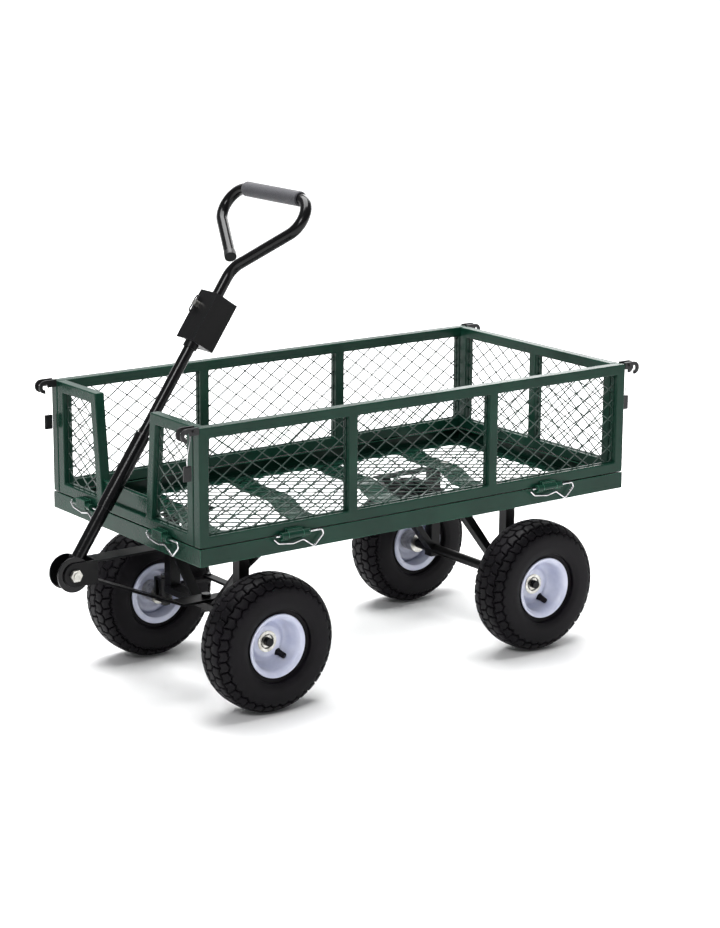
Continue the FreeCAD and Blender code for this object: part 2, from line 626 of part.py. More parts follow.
def front_panel():
    """The front panel: two mesh windows either side of a notch for the handle."""
    edge = "$bed_width / 2 - $rail - $panel_gap"
    low, top = PANEL_LOW, "$panel_top"
    floor, ceiling = f"{PANEL_LOW} + $rail", "$panel_top - $rail"
    slope = f"(($notch_top - $notch_low) / ($panel_top - ({floor})))"
    inner_top = f"($notch_top + $rail - $rail * {slope})"
    loops = [[(f"-({edge})", low), (edge, low), (edge, top), ("$notch_top", top),
              ("$notch_low", floor), ("-$notch_low", floor), ("-$notch_top", top),
              (f"-({edge})", top)]]
    for side in ("-1", "1"):
        corners = [(f"{side} * ($notch_low + $rail)", floor), (f"{side} * ({edge} - $rail)", floor),
                   (f"{side} * ({edge} - $rail)", ceiling), (f"{side} * {inner_top}", ceiling)]
        loops.append(corners)
    body = padded_body("FrontFrame", "YZ_Plane", loops, "-$bed_length / 2", "$rail", "$rail_round")
    wall = "$rail_wall"
    bore = (f"-$bed_length / 2 + {wall}", f"-$bed_length / 2 + $rail - {wall}")
    tubes = [block(bore, (f"-({edge}) + {wall}", f"{edge} - {wall}"),
                   (f"{low} + {wall}", f"{low} + $rail - {wall}"), "RailBore")]
    for side in ("-1", "1"):
        post = (f"-({edge}) + {wall}", f"-({edge}) + $rail - {wall}")
        short = (f"-({edge}) + {wall}", f"-({inner_top}) - {wall}")
        if side == "1":
            post = (f"{edge} - $rail + {wall}", f"{edge} - {wall}")
            short = (f"{inner_top} + {wall}", f"{edge} - {wall}")
        tubes += [block(bore, post, (f"{low} + {wall}", f"{top} - {wall}"), "PostBore"),
                  block(bore, short, (f"{top} - $rail + {wall}", f"{top} - {wall}"), "ShortBore"),
                  rod("z", (f"{low} - 1", f"{low} + $rail / 2"), "-$bed_length / 2 + $rail / 2",
                      f"{side} * $end_hinge / 2", "3", "Drain")]
    parts = [cut(body, tubes, "FrontTubes")]
    for end in ("-1", "1"):
        where = f"{end} * $end_hinge"
        parts.append(front_fork((f"{where} - $lug_long / 2", f"{where} + $lug_long / 2")))
    node(join(parts, "FrontPanel"), "front_frame")

    tube = size("rail")
    level = size("tray_low") + size("tray_tall") + size("panel_gap") + tube
    roof = size("panel_top") - tube
    outer = size("bed_width") / 2 - 2 * tube - size("panel_gap")
    lean = (size("notch_top") - size("notch_low")) / (size("panel_top") - level)
    near, far = size("notch_low") + tube, size("notch_top") + tube - tube * lean
    windows = [[(near, level), (outer, level), (outer, roof), (far, roof)],
               [(-outer, level), (-near, level), (-far, roof), (-outer, roof)]]
    node(feature(end_window(windows, -size("bed_length") / 2), "FrontMesh"), "front_mesh")

    face = "-$bed_length / 2 + $plate_back"
    foot = floor
    reach = f"($notch_low + ($plate_top - ({floor})) * {slope} - 0.5)"
    plate = padded_body("NotchPlate", "YZ_Plane",
                        [[("-$notch_low + 0.5", foot), ("$notch_low - 0.5", foot),
                          (reach, "$plate_top"), (f"-{reach}", "$plate_top")]], face, "2")
    rim = rod("y", (f"-{reach}", reach), f"{face} + 1", "$plate_top", "3", "NotchRim")
    node(join([plate, rim], "Plate"), "front_notch_plate")


def corner_latches(side, label):
    """At each end of a side panel: a green plate on the post and a pair of hooks with a bolt."""
    z = "$panel_top - $hook_drop"
    outer, inner = "$bed_width / 2", "($bed_width / 2 - $rail)"
    pieces = []
    for end in ("-1", "1"):
        face = f"{end} * $bed_length / 2"
        middle = f"{end} * ($bed_length / 2 + $hook_out)"
        bail = f"{end} * ($bed_length / 2 + $bail_out)"
        for near, far in ((f"{outer} - $hook_plate", outer), (inner, f"{inner} + $hook_plate")):
            span = (f"-({far})", f"-({near})") if side == "-1" else (near, far)
            ring = rod("y", span, middle, z, "$hook_radius", "HookRound")
            eye = rod("y", (f"{span[0]} - 1", f"{span[1]} + 1"), middle, z, "$hook_eye", "HookEye")
            shank_x = (middle, face) if end == "-1" else (face, middle)
            mouth = block(shank_x, (f"{span[0]} - 1", f"{span[1]} + 1"),
                          (f"{z} - $hook_radius - 1", f"{z} - 1"), "HookMouth")
            shank = block(shank_x, span, (f"{z} - 1", f"{z} + $hook_radius"), "HookShank")
            solid = join([ring, shank], "HookBlank")
            bail_hole = rod("y", (f"{span[0]} - 1", f"{span[1]} + 1"), bail,
                            f"{z} + $hook_radius / 2", "$bail_radius", "BailHole")
            pieces.append(cut(solid, [eye, mouth, bail_hole], "Hook"))
        reach = (f"-({outer}) - 3", f"-{inner}") if side == "-1" else (inner, f"{outer} + 3")
        pieces.append(rod("y", reach, bail, f"{z} + $hook_radius / 2", "$bail_radius", "Bail"))
    node(group(pieces, f"Latches{label}"), f"corner_latches_{label}")


def cord_bends(points):
    """The bend radius at each inner point of a cord: as large as its two runs allow."""
    bends = []
    for before, here, after in zip(points, points[1:], points[2:]):
        back, ahead = here - before, after - here
        turn = back.getAngle(ahead)
        bends.append(0.45 * min(back.Length, ahead.Length) / math.tan(turn / 2))
    return bends


# How far each pull wire hangs out from its panel's end and along Y, level by level.
LANYARDS = {
    "front_left": [(11, 0, 0), (12.5, -0.5, 11), (16, -1.5, 24), (18.5, -1, 38), (19, 0.5, 50),
                   (18, 1.5, 60)],
    "front_right": [(11, 0, 0), (12, 0.6, 12), (15, 1.8, 25), (16, 3, 38), (14.5, 3.2, 50),
                    (12.5, 2.4, 60)],
    "rear_left": [(11, 0, 0), (12.8, 0.5, 11), (15.5, 1.6, 24), (15.8, 2.8, 38), (14, 3, 50),
                  (12, 2, 60)],
    "rear_right": [(11, 0, 0), (12.2, -0.4, 12), (14.5, -1.6, 24), (17, -1.8, 37), (18, -0.8, 49),
                   (17.6, 0.6, 60)],
}


def lanyards():
    """A short pull wire that hangs from each corner bolt, with a flat plastic tab at its end."""
    middle = size("bed_width") / 2 - size("rail") / 2
    top = size("panel_top") - size("hook_drop") + size("hook_radius") / 2 - size("bail_radius")
    for label, route in LANYARDS.items():
        end = -1 if label.startswith("front") else 1
        side = -1 if label.endswith("left") else 1
        points = [Vector(end * (size("bed_length") / 2 + out), side * middle + along, top - down)
                  for out, along, down in route]
        bends = cord_bends(points)
        print(f"lanyard_{label} bend radii", [round(bend, 1) for bend in bends])
        node(feature(wire_rod(points, bends, size("lanyard_radius")), "Wire"), f"lanyard_{label}")
        foot = points[-1]
        wide, thick, tall = size("tab_wide"), size("tab_thick"), size("tab_tall")
        corner = foot - Vector(wide / 2, thick / 2, tall)
        tab = Part.makeBox(wide, thick, tall, corner)
        node(feature(tab.makeFillet(1.8, tab.Edges), "Tab"), f"pull_tab_{label}")


# --------------------------------------------------------------------------- undercarriage
FOOT_LOW = f"{strap_shelf()} - $foot_thick"
BOSS_LOW, BEAM_TOP = "$wheel_radius", "$wheel_radius + $beam"
BEAM_LOW = f"{BEAM_TOP} - $beam_tall"


def tube(x, y, z, bore_x, bore_y, name):
    """A square tube on end, open at both ends."""
    return cut(block(x, y, z, name), [block(bore_x, bore_y, (f"{z[0]} - 1", f"{z[1]} + 1"), "Bore")],
               name + "Tube")


def upright(axle, side, start):
    """A leg: a square tube from a start height up to its foot."""
    x = (f"{axle} - $leg / 2", f"{axle} + $leg / 2")
    y = (f"{side} * $leg_out - $leg / 2", f"{side} * $leg_out + $leg / 2")
    bore_x = (f"{axle} - $leg / 2 + $leg_wall", f"{axle} + $leg / 2 - $leg_wall")
    bore_y = (f"{side} * $leg_out - $leg / 2 + $leg_wall", f"{side} * $leg_out + $leg / 2 - $leg_wall")
    return tube(x, y, (start, FOOT_LOW), bore_x, bore_y, "Leg")


FOOT_BOLTS = {"front": "$front_axle + 31", "rear": "$rear_axle + 28"}


def foot(side, span, bolt):
    """The flat foot on top of a leg, bolted under a strap."""
    y = (f"{side} * $leg_out - $foot_wide / 2", f"{side} * $leg_out + $foot_wide / 2")
    plate = block(span, y, (FOOT_LOW, f"{FOOT_LOW} + $foot_thick"), "Foot")
    hole = rod("z", (f"{FOOT_LOW} - 1", f"{FOOT_LOW} + $foot_thick + 1"), bolt,
               f"{side} * $leg_out", "4", "FootHole")
    return cut(plate, [hole], "DrilledFoot")


def strut(side, corners, name):
    """A flat-bar brace in the plane of a leg that runs fore and aft."""
    offset = "$leg_out - $leg / 2" if side == "-1" else "-$leg_out - $leg / 2"
    return padded_body(name, "XZ_Plane", [corners], offset, "$leg")


def front_legs():
    """Front legs with feet, struts back to the feet and braces down to the middle of the beam."""
    pieces = []
    back = "$front_axle + $leg / 2"
    for side in ("-1", "1"):
        pieces.append(upright("$front_axle", side, BEAM_TOP))
        pieces.append(foot(side, ("$front_axle - 20", "$front_axle + 92"), FOOT_BOLTS["front"]))
        pieces.append(strut(side, [(back, f"{FOOT_LOW} - 49"), (f"{back} + 73", FOOT_LOW),
                                   (f"{back} + 64", FOOT_LOW), (back, f"{FOOT_LOW} - 43")],
                            "FrontStrut"))
        foot_in, inner = f"{side} * 32", f"{side} * ($leg_out - $leg / 2)"
        corners = [(foot_in, BEAM_TOP), (f"{side} * 39", BEAM_TOP), (inner, f"{BEAM_TOP} + 71"),
                   (inner, f"{BEAM_TOP} + 78.2")]
        pieces.append(padded_body("CrossBrace", "YZ_Plane", [corners], "$front_axle - $leg / 2", "$leg"))
    node(group(pieces, "FrontLegs"), "front_legs")


def rear_legs():
    """Rear legs round the axle rod, with feet and long braces forward and up to the feet."""
    pieces = []
    front = "$rear_axle - $leg / 2"
    for side in ("-1", "1"):
        span = (f"{side} * $leg_out - $leg", f"{side} * $leg_out + $leg")
        bore = rod("y", span, "$rear_axle", "$wheel_radius", "$rod_radius", "AxleBore")
        pieces.append(cut(upright("$rear_axle", side, "$wheel_radius - $rod_radius - 5"), [bore],
                          "RearLeg"))
        pieces.append(foot(side, ("$rear_axle - 148", "$rear_axle + 40"), FOOT_BOLTS["rear"]))
        pieces.append(strut(side, [(front, "$wheel_radius"), (front, "$wheel_radius + 20"),
                                   (f"{front} - 109.5", FOOT_LOW), (f"{front} - 130.5", FOOT_LOW)],
                            "RearStrut"))
    node(group(pieces, "RearLegs"), "rear_legs")


def front_beam():
    """The front beam with a kingpin boss at each end and the steering pivot hole in its middle."""
    x = ("$front_axle - $beam / 2", "$front_axle + $beam / 2")
    reach = "($kingpin_out - $boss_radius - 6)"
    tall_beam = (BEAM_LOW, BEAM_TOP)
    solids = [block(x, (f"-{reach}", reach), tall_beam, "Beam")]
    holes = [rod("z", (f"{BEAM_LOW} - 1", f"{BEAM_TOP} + 1"), "$front_axle", "0", "$pin_radius",
                 "PivotHole")]
    for side in ("-1", "1"):
        middle = f"{side} * $kingpin_out"
        neck = (middle, f"{side} * {reach}") if side == "-1" else (reach, middle)
        solids.append(block(("$front_axle - 8", "$front_axle + 8"), neck, tall_beam, "Neck"))
        tall = (f"{BOSS_LOW} - $boss_over", f"{BEAM_TOP} + $boss_over")
        solids.append(rod("z", tall, "$front_axle", middle, "$boss_radius", "Boss"))
        holes.append(rod("z", (f"{tall[0]} - 1", f"{tall[1]} + 1"), "$front_axle", middle,
                         "$pin_radius", "KingpinHole"))
    node(cut(join(solids, "BeamSolid"), holes, "FrontBeam"), "front_axle_beam")


def rear_axle():
    """The rear axle rod, turned down at both ends for the wheels."""
    end = "($wheel_track + $hub_outer + $axle_past)"
    middle = rod("y", ("-($wheel_track - $hub_inner)", "$wheel_track - $hub_inner"), "$rear_axle",
                 "$wheel_radius", "$rod_radius", "AxleMiddle")
    ends = rod("y", (f"-{end}", end), "$rear_axle", "$wheel_radius", "$axle_radius", "AxleEnds")
    node(join([middle, ends], "RearAxle"), "rear_axle_rod")


def drilled(solid, along, span, first, second, radius):
    """A solid with a round hole through it."""
    hole = rod(along, (f"{span[0]} - 1", f"{span[1]} + 1"), first, second, radius, "Hole")
    return cut(solid, [hole], "Drilled")


def bolt(along, span, first, second, radius, head, nut, name):
    """A bolt with its head past the end of its span and its nut before the start."""
    start, end = span
    shank = rod(along, (f"{start} - {nut} - 2", f"{end} + 1"), first, second, radius, name)
    top = hexagon(along, end, head, first, second, f"2 * {radius}", "Head")
    ring = hexagon(along, f"{start} - {nut}", nut, first, second, f"2 * {radius}", "Nut")
    return join([shank, top, ring], name + "Set")


def steering_pins():
    """Kingpins, and the two bolts of the steering pivot: in the beam and under the front strap."""
    plates = "$boss_over + $gap + $knuckle_plate + $gap"
    pins = [bolt("z", (f"{BOSS_LOW} - ({plates})", f"{BEAM_TOP} + {plates}"), "$front_axle",
                 f"{side} * $kingpin_out", "$pin_radius", "6", "7", "Kingpin") for side in ("-1", "1")]
    pins.append(bolt("z", (BEAM_LOW, f"{BEAM_TOP} + $gap + $bar_plate + $gap"), "$front_axle", "0",
                     "$pin_radius", "6", "8", "LowerPivot"))
    under = f"{strap_bottom()} - $gap - $upper_plate - $gap"
    pins.append(bolt("z", (under, f"{strap_bottom()} + $strap_thick"), "$front_axle", "0",
                     "$pin_radius", "6", "7", "UpperPivot"))
    node(group(pins, "SteeringPins"), "steering_pins")


def frame_fasteners():
    """The bolts that hold the feet under the straps, and the nuts of the rear axle."""
    pieces = []
    for x in FOOT_BOLTS.values():
        for side in ("-1", "1"):
            pieces.append(bolt("z", (FOOT_LOW, f"{FOOT_LOW} + $foot_thick + $strap_thick"), x,
                               f"{side} * $leg_out", "4", "4", "5", "FootBolt"))
    start = "$wheel_track + $hub_outer + $gap"
    for side in ("-1", "1"):
        base = start if side == "1" else f"-({start}) - 8"
        span = (base, f"{base} + 8")
        nut = hexagon("y", base, "8", "$rear_axle", "$wheel_radius", "13", "AxleNut")
        pieces.append(drilled(nut, "y", span, "$rear_axle", "$wheel_radius", "$axle_radius"))
    node(group(pieces, "Fasteners"), "frame_fasteners")


def knuckle(side, label):
    """A steering knuckle: a fork round the boss, a stub axle and an arm back to the tie bar."""
    pin_y = f"{side} * $kingpin_out"
    plate = "$knuckle_plate"
    top = f"{BEAM_TOP} + $boss_over + $gap"
    bottom = f"{BOSS_LOW} - $boss_over - $gap - {plate}"
    web_in = "$kingpin_out + $boss_radius + 0.5"
    x = ("$front_axle - $boss_radius - 1", "$front_axle + $boss_radius + 1")

    def outward(start, end):
        return (f"-({end})", f"-({start})") if side == "-1" else (start, end)

    solids = [block(x, outward(web_in, f"{web_in} + {plate}"), (bottom, f"{top} + {plate}"), "Web")]
    for base in (top, bottom):
        solids.append(block(x, outward("$kingpin_out", web_in), (base, f"{base} + {plate}"), "Jaw"))
        solids.append(rod("z", (base, f"{base} + {plate}"), "$front_axle", pin_y,
                          "$boss_radius + 1", "JawEnd"))
    tip = "$wheel_track + $hub_outer + $axle_past"
    solids.append(rod("y", outward(f"{web_in} + {plate}", tip), "$front_axle", "$wheel_radius",
                      "$axle_radius", "StubAxle"))
    tall = (f"{TIE_LOW} - $gap - {plate}", f"{TIE_LOW} - $gap")
    root, end = "$front_axle + $boss_radius + 1", "$front_axle + $arm_back"
    solids += [block((root, end), outward("$kingpin_out - $arm_wide / 2", "$kingpin_out + $arm_wide / 2"),
                     tall, "Arm"),
               block((root, f"{root} + 16"), outward("$kingpin_out - $arm_wide / 2",
                                                    f"{web_in} + {plate}"), tall, "ArmRoot"),
               block((f"{root} - 4", root), outward(web_in, f"{web_in} + {plate}"), tall, "ArmWeld"),
               rod("z", tall, end, pin_y, "$arm_wide / 2", "ArmEnd")]
    turning = "$pin_radius + $running"
    holes = [rod("z", (f"{base} - 1", f"{base} + {plate} + 1"), "$front_axle", pin_y, turning, "JawHole")
             for base in (top, bottom)]
    holes.append(rod("z", (f"{tall[0]} - 1", f"{tall[1]} + 1"), end, pin_y, "$tie_pin + $running",
                     "ArmHole"))
    node(cut(join(solids, "KnuckleSolid"), holes, f"Knuckle{label}"), f"knuckle_{label}")
    base = "$wheel_track + $hub_outer + $gap"
    span = outward(base, f"{base} + 8")
    nut = hexagon("y", span[0], "8", "$front_axle", "$wheel_radius", "13", "AxleNut")
    node(drilled(nut, "y", span, "$front_axle", "$wheel_radius", "$axle_radius"),
         f"front_axle_nut_{label}")


TAIL_LOW = f"{BEAM_TOP} + $gap"
TIE_LOW = f"{BEAM_TOP} - 3 - $bar_plate + $gap"


def tie_bar():
    """The tie bar behind the beam, its three pins and the spacer under the drawbar's tail."""
    x = "$front_axle + $arm_back"
    tall = (TIE_LOW, f"{TIE_LOW} + $bar_plate")
    bar = block((f"{x} - $arm_wide / 2", f"{x} + $arm_wide / 2"), ("-$kingpin_out", "$kingpin_out"),
                tall, "Bar")
    ends = [rod("z", tall, x, f"{side} * $kingpin_out", "$arm_wide / 2", "BarEnd")
            for side in ("-1", "1")]
    holes = [rod("z", (f"{tall[0]} - 1", f"{tall[1]} + 1"), x, f"{side} * $kingpin_out", "$tie_pin",
                 "BarHole") for side in ("-1", "0", "1")]
    node(cut(join([bar] + ends, "BarSolid"), holes, "TieBar"), "tie_bar")
    pins = [bolt("z", (f"{TIE_LOW} - $gap - $knuckle_plate - $gap", f"{TIE_LOW} + $bar_plate"), x,
                 f"{side} * $kingpin_out", "$tie_pin", "3", "4", "TiePin") for side in ("-1", "1")]
    spacer = rod("z", (f"{TIE_LOW} + $bar_plate", f"{TAIL_LOW} - $gap"), x, "0", "$arm_wide / 2 - 1",
                 "Spacer")
    tail_pin = bolt("z", (TIE_LOW, f"{TAIL_LOW} + $bar_plate + $gap"), x, "0", "$tie_pin", "4", "4",
                    "TailPin")
    pins.append(join([spacer, tail_pin], "TailPinSet"))
    node(group(pins, "TiePins"), "tie_bar_pins")


# --------------------------------------------------------------------------- drawbar
def drawbar():
    """Two arms on one upright axis, one above the other, that carry the bracket of the handle."""
    under = f"{strap_bottom()} - $gap - $upper_plate"
    back = "$pivot_x + $bracket_deep"
    tall = (under, f"{under} + $upper_plate")
    flat = block((back, "$front_axle"), ("-$bar_wide / 2", "$bar_wide / 2"), tall, "UpperFlat")
    end = rod("z", tall, "$front_axle", "0", "$bar_wide / 2", "UpperEnd")
    node(drilled(join([flat, end], "UpperArm"), "z", tall, "$front_axle", "0", "$pin_radius + $running"),
         "drawbar_upper_arm")

    low, high = TAIL_LOW, f"{TAIL_LOW} + $bar_plate"
    bend = "$front_axle - 61"
    foot_z = "$pivot_z - $bracket_half"
    corners = [("$front_axle", low), ("$front_axle", high), (f"{bend} - 1", high),
               (back, f"{foot_z} + 1.085 * $bar_plate"), (back, foot_z), (bend, low)]
    bent = padded_body("LowerBent", "XZ_Plane", [corners], "-$bar_wide / 2", "$bar_wide")
    round_end = rod("z", (low, high), "$front_axle", "0", "$bar_wide / 2", "LowerEnd")
    tail_x = "$front_axle + $arm_back"
    tail = block(("$front_axle", tail_x), ("-$arm_wide / 2", "$arm_wide / 2"), (low, high), "Tail")
    tail_end = rod("z", (low, high), tail_x, "0", "$arm_wide / 2", "TailEnd")
    solid = join([bent, round_end, tail, tail_end], "LowerSolid")
    holes = [rod("z", (f"{low} - 1", f"{high} + 1"), x, "0", f"{radius} + $running", "LowerHole")
             for x, radius in (("$front_axle", "$pin_radius"), (tail_x, "$tie_pin"))]
    node(cut(solid, holes, "LowerArm"), "drawbar_lower_arm")

    outer = "($disc_out + $gap + $bracket_plate)"
    inner = "($disc_out + $gap)"
    z = (f"$pivot_z - $bracket_half", f"$pivot_z + $bracket_half")
    solid = join([block(("$pivot_x", back), (f"-{outer}", outer), z, "BracketBlock"),
                  rod("y", (f"-{outer}", outer), "$pivot_x", "$pivot_z", "$bracket_half",
                      "BracketNose")], "BracketSolid")
    slot = block(("$pivot_x - $bracket_half - 1", f"{back} - $bracket_plate"), (f"-{inner}", inner),
                 (f"{z[0]} - 1", f"{z[1]} + 1"), "BracketSlot")
    bore = rod("y", (f"-{outer} - 1", f"{outer} + 1"), "$pivot_x", "$pivot_z", "$pivot_radius",
               "BracketBore")
    node(cut(solid, [slot, bore], "Bracket"), "drawbar_bracket")
    node(bolt("y", (f"-{outer}", outer), "$pivot_x", "$pivot_z", "$pivot_radius", "6", "6",
              "HandlePivot"), "handle_pivot_bolt")


# --------------------------------------------------------------------------- wheels
def wheels():
    """Four pneumatic wheels, each a tyre, a dished steel rim and a hub tube on its stub axle."""
    half, seat, lip, sheet = "$rim_half", "$bead_radius", "$flange_radius", "$rim_sheet"
    wall, bulge = "$wheel_width / 2", "($flange_radius + $wheel_radius) / 2"
    out_low, out_high = f"{bulge} - 10.5", f"{bulge} + 9.5"
    in_low, in_high = f"{bulge} - 8.5", f"{bulge} + 7.5"
    rim = [(half, lip), (f"{half} - {sheet}", lip), (f"{half} - {sheet}", seat),
           (f"{sheet} - {half}", seat), (f"{sheet} - {half}", lip), (f"-{half}", lip),
           (f"-{half}", f"{seat} - {sheet}"), ("4", f"{seat} - {sheet}"), (f"-{sheet}", "38"),
           (f"-{sheet}", "$hub_radius"), ("0", "$hub_radius"), ("0", "37"), ("8", f"{seat} - {sheet}"),
           (half, f"{seat} - {sheet}")]
    face = f"{half} - {sheet}"
    tyre = [(face, seat), (face, lip), (wall, out_low), (wall, out_high),
            (f"{wall} - 4", "$wheel_radius - 9"), (f"{wall} - 11", "$wheel_radius"),
            (f"11 - {wall}", "$wheel_radius"), (f"4 - {wall}", "$wheel_radius - 9"),
            (f"-{wall}", out_high), (f"-{wall}", out_low), (f"-({face})", lip), (f"-({face})", seat),
            (f"7 - ({face})", seat), (f"7 - ({face})", lip), (f"7 - {wall}", in_low),
            (f"7 - {wall}", in_high), (f"13 - {wall}", "$wheel_radius - 14"),
            (f"{wall} - 13", "$wheel_radius - 14"), (f"{wall} - 7", in_high),
            (f"{wall} - 7", in_low), (f"{face} - 7", lip), (f"{face} - 7", seat)]
    bore = "$axle_radius + $running"
    collar = "$hub_outer + $hub_collar"
    hub = [("-$hub_inner", bore), ("$hub_outer", bore), ("$hub_outer", "$hub_recess"),
           (collar, "$hub_recess"), (collar, "$hub_radius"), ("-$hub_inner", "$hub_radius")]
    for where, axle in (("front", "$front_axle"), ("rear", "$rear_axle")):
        for side, label in (("-1", "left"), ("1", "right")):
            for piece, loop in (("tyre", tyre), ("rim", rim), ("hub", hub)):
                body = turned_body(f"{where}_{label}_{piece}", loop)
                if side == "-1":
                    body.Placement = Placement(Vector(), Rotation(Vector(0, 0, 1), 180))
                node(body, f"{where}_{label}_{piece}", axle, f"{side} * $wheel_track", "$wheel_radius")


# --------------------------------------------------------------------------- handle
LEAN_AXIS = Vector(0, 1, 0)


def handle_node(item, label):
    """A piece of the handle, modelled upright over its pivot and leaned back over the bed."""
    item.Placement = Placement(Vector(), Rotation(LEAN_AXIS, size("handle_lean")))
    bind(item, Placement__Rotation__Angle="$handle_lean")
    node(item, label, "$pivot_x", "0", "$pivot_z")


def handle_stem():
    """Foot, lower tube and clamp sleeve."""
    inner = "($disc_out - $disc_plate)"
    ears = [rod("y", span, "0", "0", "$disc_radius", "Ear")
            for span in ((f"-$disc_out", f"-{inner}"), (inner, "$disc_out"))]
    bush = rod("y", (f"-{inner}", inner), "0", "0", "$lower_tube", "Bush")
    socket = rod("z", ("0", "30"), "0", "0", "$lower_tube + 3.5", "Socket")
    well = rod("z", ("$lower_tube + 2", "31"), "0", "0", "$lower_tube", "Well")
    bore = rod("y", ("-$disc_out - 1", "$disc_out + 1"), "0", "0", "$pivot_radius + $running", "Bore")
    handle_node(cut(join(ears + [bush, socket], "ForkSolid"), [well, bore], "Fork"), "handle_fork")

    lower = rod("z", ("$lower_tube + 2", "$sleeve_to"), "0", "0", "$lower_tube", "LowerTube")
    hollow = rod("z", ("$lower_tube + 1", "$sleeve_to + 1"), "0", "0", "$upper_tube", "LowerBore")
    handle_node(cut(lower, [hollow], "LowerTubeWall"), "handle_lower_tube")

    sleeve = rod("z", ("$sleeve_from", "$sleeve_to"), "0", "0", "$lower_tube + $sleeve_wall", "Sleeve")
    hollow = rod("z", ("$sleeve_from - 1", "$sleeve_to + 1"), "0", "0", "$lower_tube", "SleeveBore")
    handle_node(cut(sleeve, [hollow], "SleeveWall"), "handle_sleeve")


def handle_loop():
    """Upper tube bent into an open triangular loop, with its foam grip and its end cap."""
    slope = math.radians(size("loop_angle"))
    kink, grip = size("kink_up"), size("grip_up")
    reach = (grip - kink) / math.tan(slope)
    arm = Vector(0, math.cos(slope), math.sin(slope))
    tail = Vector(0, 0, kink) + arm * size("tail_end")
    start = Vector(0, 0, size("sleeve_from") + 10)
    off = Vector(0, size("loop_off"), 0)
    points = [start, Vector(0, 0, kink), off + Vector(0, -reach, grip), off + Vector(0, reach, grip),
              off + tail]
    bends = [size("loop_bend")] * 3
    outer = wire_rod(points, bends, size("upper_tube"))
    inner = wire_rod(points, bends, size("upper_tube") - size("tube_wall"))
    handle_node(feature(outer.cut(inner), "UpperTube"), "handle_upper_tube")

    radius, half = size("grip_radius"), size("grip_half") - 2
    base = off + Vector(0, -half, grip)
    foam = Part.makeCylinder(radius, 2 * half, base, Vector(0, 1, 0))
    ends = [edge for edge in foam.Edges if abs(edge.Length - 2 * math.pi * radius) < 0.01]
    foam = foam.makeFillet(2.5, ends)
    bore = Part.makeCylinder(size("upper_tube"), 2 * half + 2, base - Vector(0, 1, 0), Vector(0, 1, 0))
    handle_node(feature(foam.cut(bore), "Grip"), "handle_grip")

    cap = Part.makeCylinder(size("upper_tube") + 0.8, 12, off + tail - arm * 2, arm)
    socket = Part.makeCylinder(size("upper_tube"), 12, off + tail, arm)
    handle_node(feature(cap.cut(socket), "EndCap"), "handle_end_cap")


def tow_coupling():
    """The channel beside the handle that takes a tow bar's tongue, with its pin and clip."""
    x, y = ("-$hitch_front", "$hitch_deep"), ("-$hitch_near", "$hitch_far")
    z, wall = ("$hitch_from", "$hitch_to"), "$hitch_plate"
    shell = block(x, y, z, "Channel")
    collar = rod("z", ("$hitch_from - 12", "$hitch_from"), "0", "0", "$upper_tube + 3", "Collar")
    inside = (f"{x[0]} + {wall}", f"{x[1]} - {wall}")
    well = block(inside, (f"{y[0]} + {wall}", "14"), (f"{z[0]} + {wall}", f"{z[1]} - {wall}"), "Well")
    slot = block(inside, ("13", f"{y[1]} + 1"), (f"{z[0]} - 1", f"{z[1]} + 1"), "TongueSlot")
    stem = rod("z", ("$hitch_from - 20", "$hitch_to + 20"), "0", "0", "$upper_tube", "StemHole")
    through = (f"{x[0]} - 1", f"{x[1]} + 1")
    eye = rod("x", through, "$tow_side", "$tow_up", "$tow_radius", "TowHole")
    handle_node(cut(join([shell, collar], "ChannelSolid"), [well, slot, stem, eye], "Coupling"),
                "tow_coupling")
    tip = f"{x[0]} - 9"
    shank = rod("x", (tip, f"{x[1]} + 4"), "$tow_side", "$tow_up", "$tow_radius", "PinShank")
    head = rod("x", (x[1], f"{x[1]} + 4"), "$tow_side", "$tow_up", "$tow_radius + 3.5", "PinHead")
    across = rod("z", ("$tow_up - 20", "$tow_up + 20"), f"{tip} + 4.5", "$tow_side", "1.2", "ClipHole")
    handle_node(cut(join([shank, head], "PinSolid"), [across], "TowPin"), "coupling_pin")

    front = -size("hitch_front") - 4.5
    leg = [(0, 16), (0, -14), (5, -20), (10.5, -13), (8.8, 0), (10.5, 9), (7, 16)]
    points = [Vector(front, size("tow_side") + u, size("tow_up") + w) for u, w in leg]
    handle_node(feature(wire_rod(points, [3, 3.5, 3.5, 8, 5], 1.2), "PinClip"), "coupling_clip")


# --------------------------------------------------------------------------- build and write
def build():
    """Make every sub-part in the document."""
    bed_tray()
    bed_floor()
    hinge_clips()
    for side, label in (("-1", "left"), ("1", "right")):
        side_panel(side, label)
        corner_latches(side, label)
        knuckle(side, label)
    rear_panel()
    front_panel()
    lanyards()
    front_legs()
    rear_legs()
    front_beam()
    rear_axle()
    steering_pins()
    frame_fasteners()
    tie_bar()
    drawbar()
    wheels()
    handle_stem()
    handle_loop()
    tow_coupling()
    DOC.recompute()


def check():
    """Stop with the names of anything that failed to compute or is not a sound solid."""
    failed = [item.Name for item in DOC.Objects if {"Invalid", "Error"} & set(item.State)]
    for item in NODES:
        shape = item.Shape
        if shape.isNull() or not shape.isValid() or not shape.Solids:
            failed.append(item.Label)
    if failed:
        raise RuntimeError("failed: " + ", ".join(failed))


def write():
    """Write each sub-part to its own file."""
    os.makedirs("parts", exist_ok=True)
    for item in NODES:
        item.Shape.exportStep(f"parts/{item.Label}.step")


build()
check()
write()
print(len(NODES), "sub-parts written")
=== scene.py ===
"""The looks of the garden cart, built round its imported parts.

Every part keeps its own shape from the frame, but for three kinds that are made again here: the
tyres with their tread, the rims with their pressed bowls and the pull wires as smooth curves.  The
valves are added, and every surface gets the finish of its real material.  Lengths are in metres in
the part's own frame.
"""
import json
import math

import bpy
import numpy as np
from mathutils import Matrix, Vector

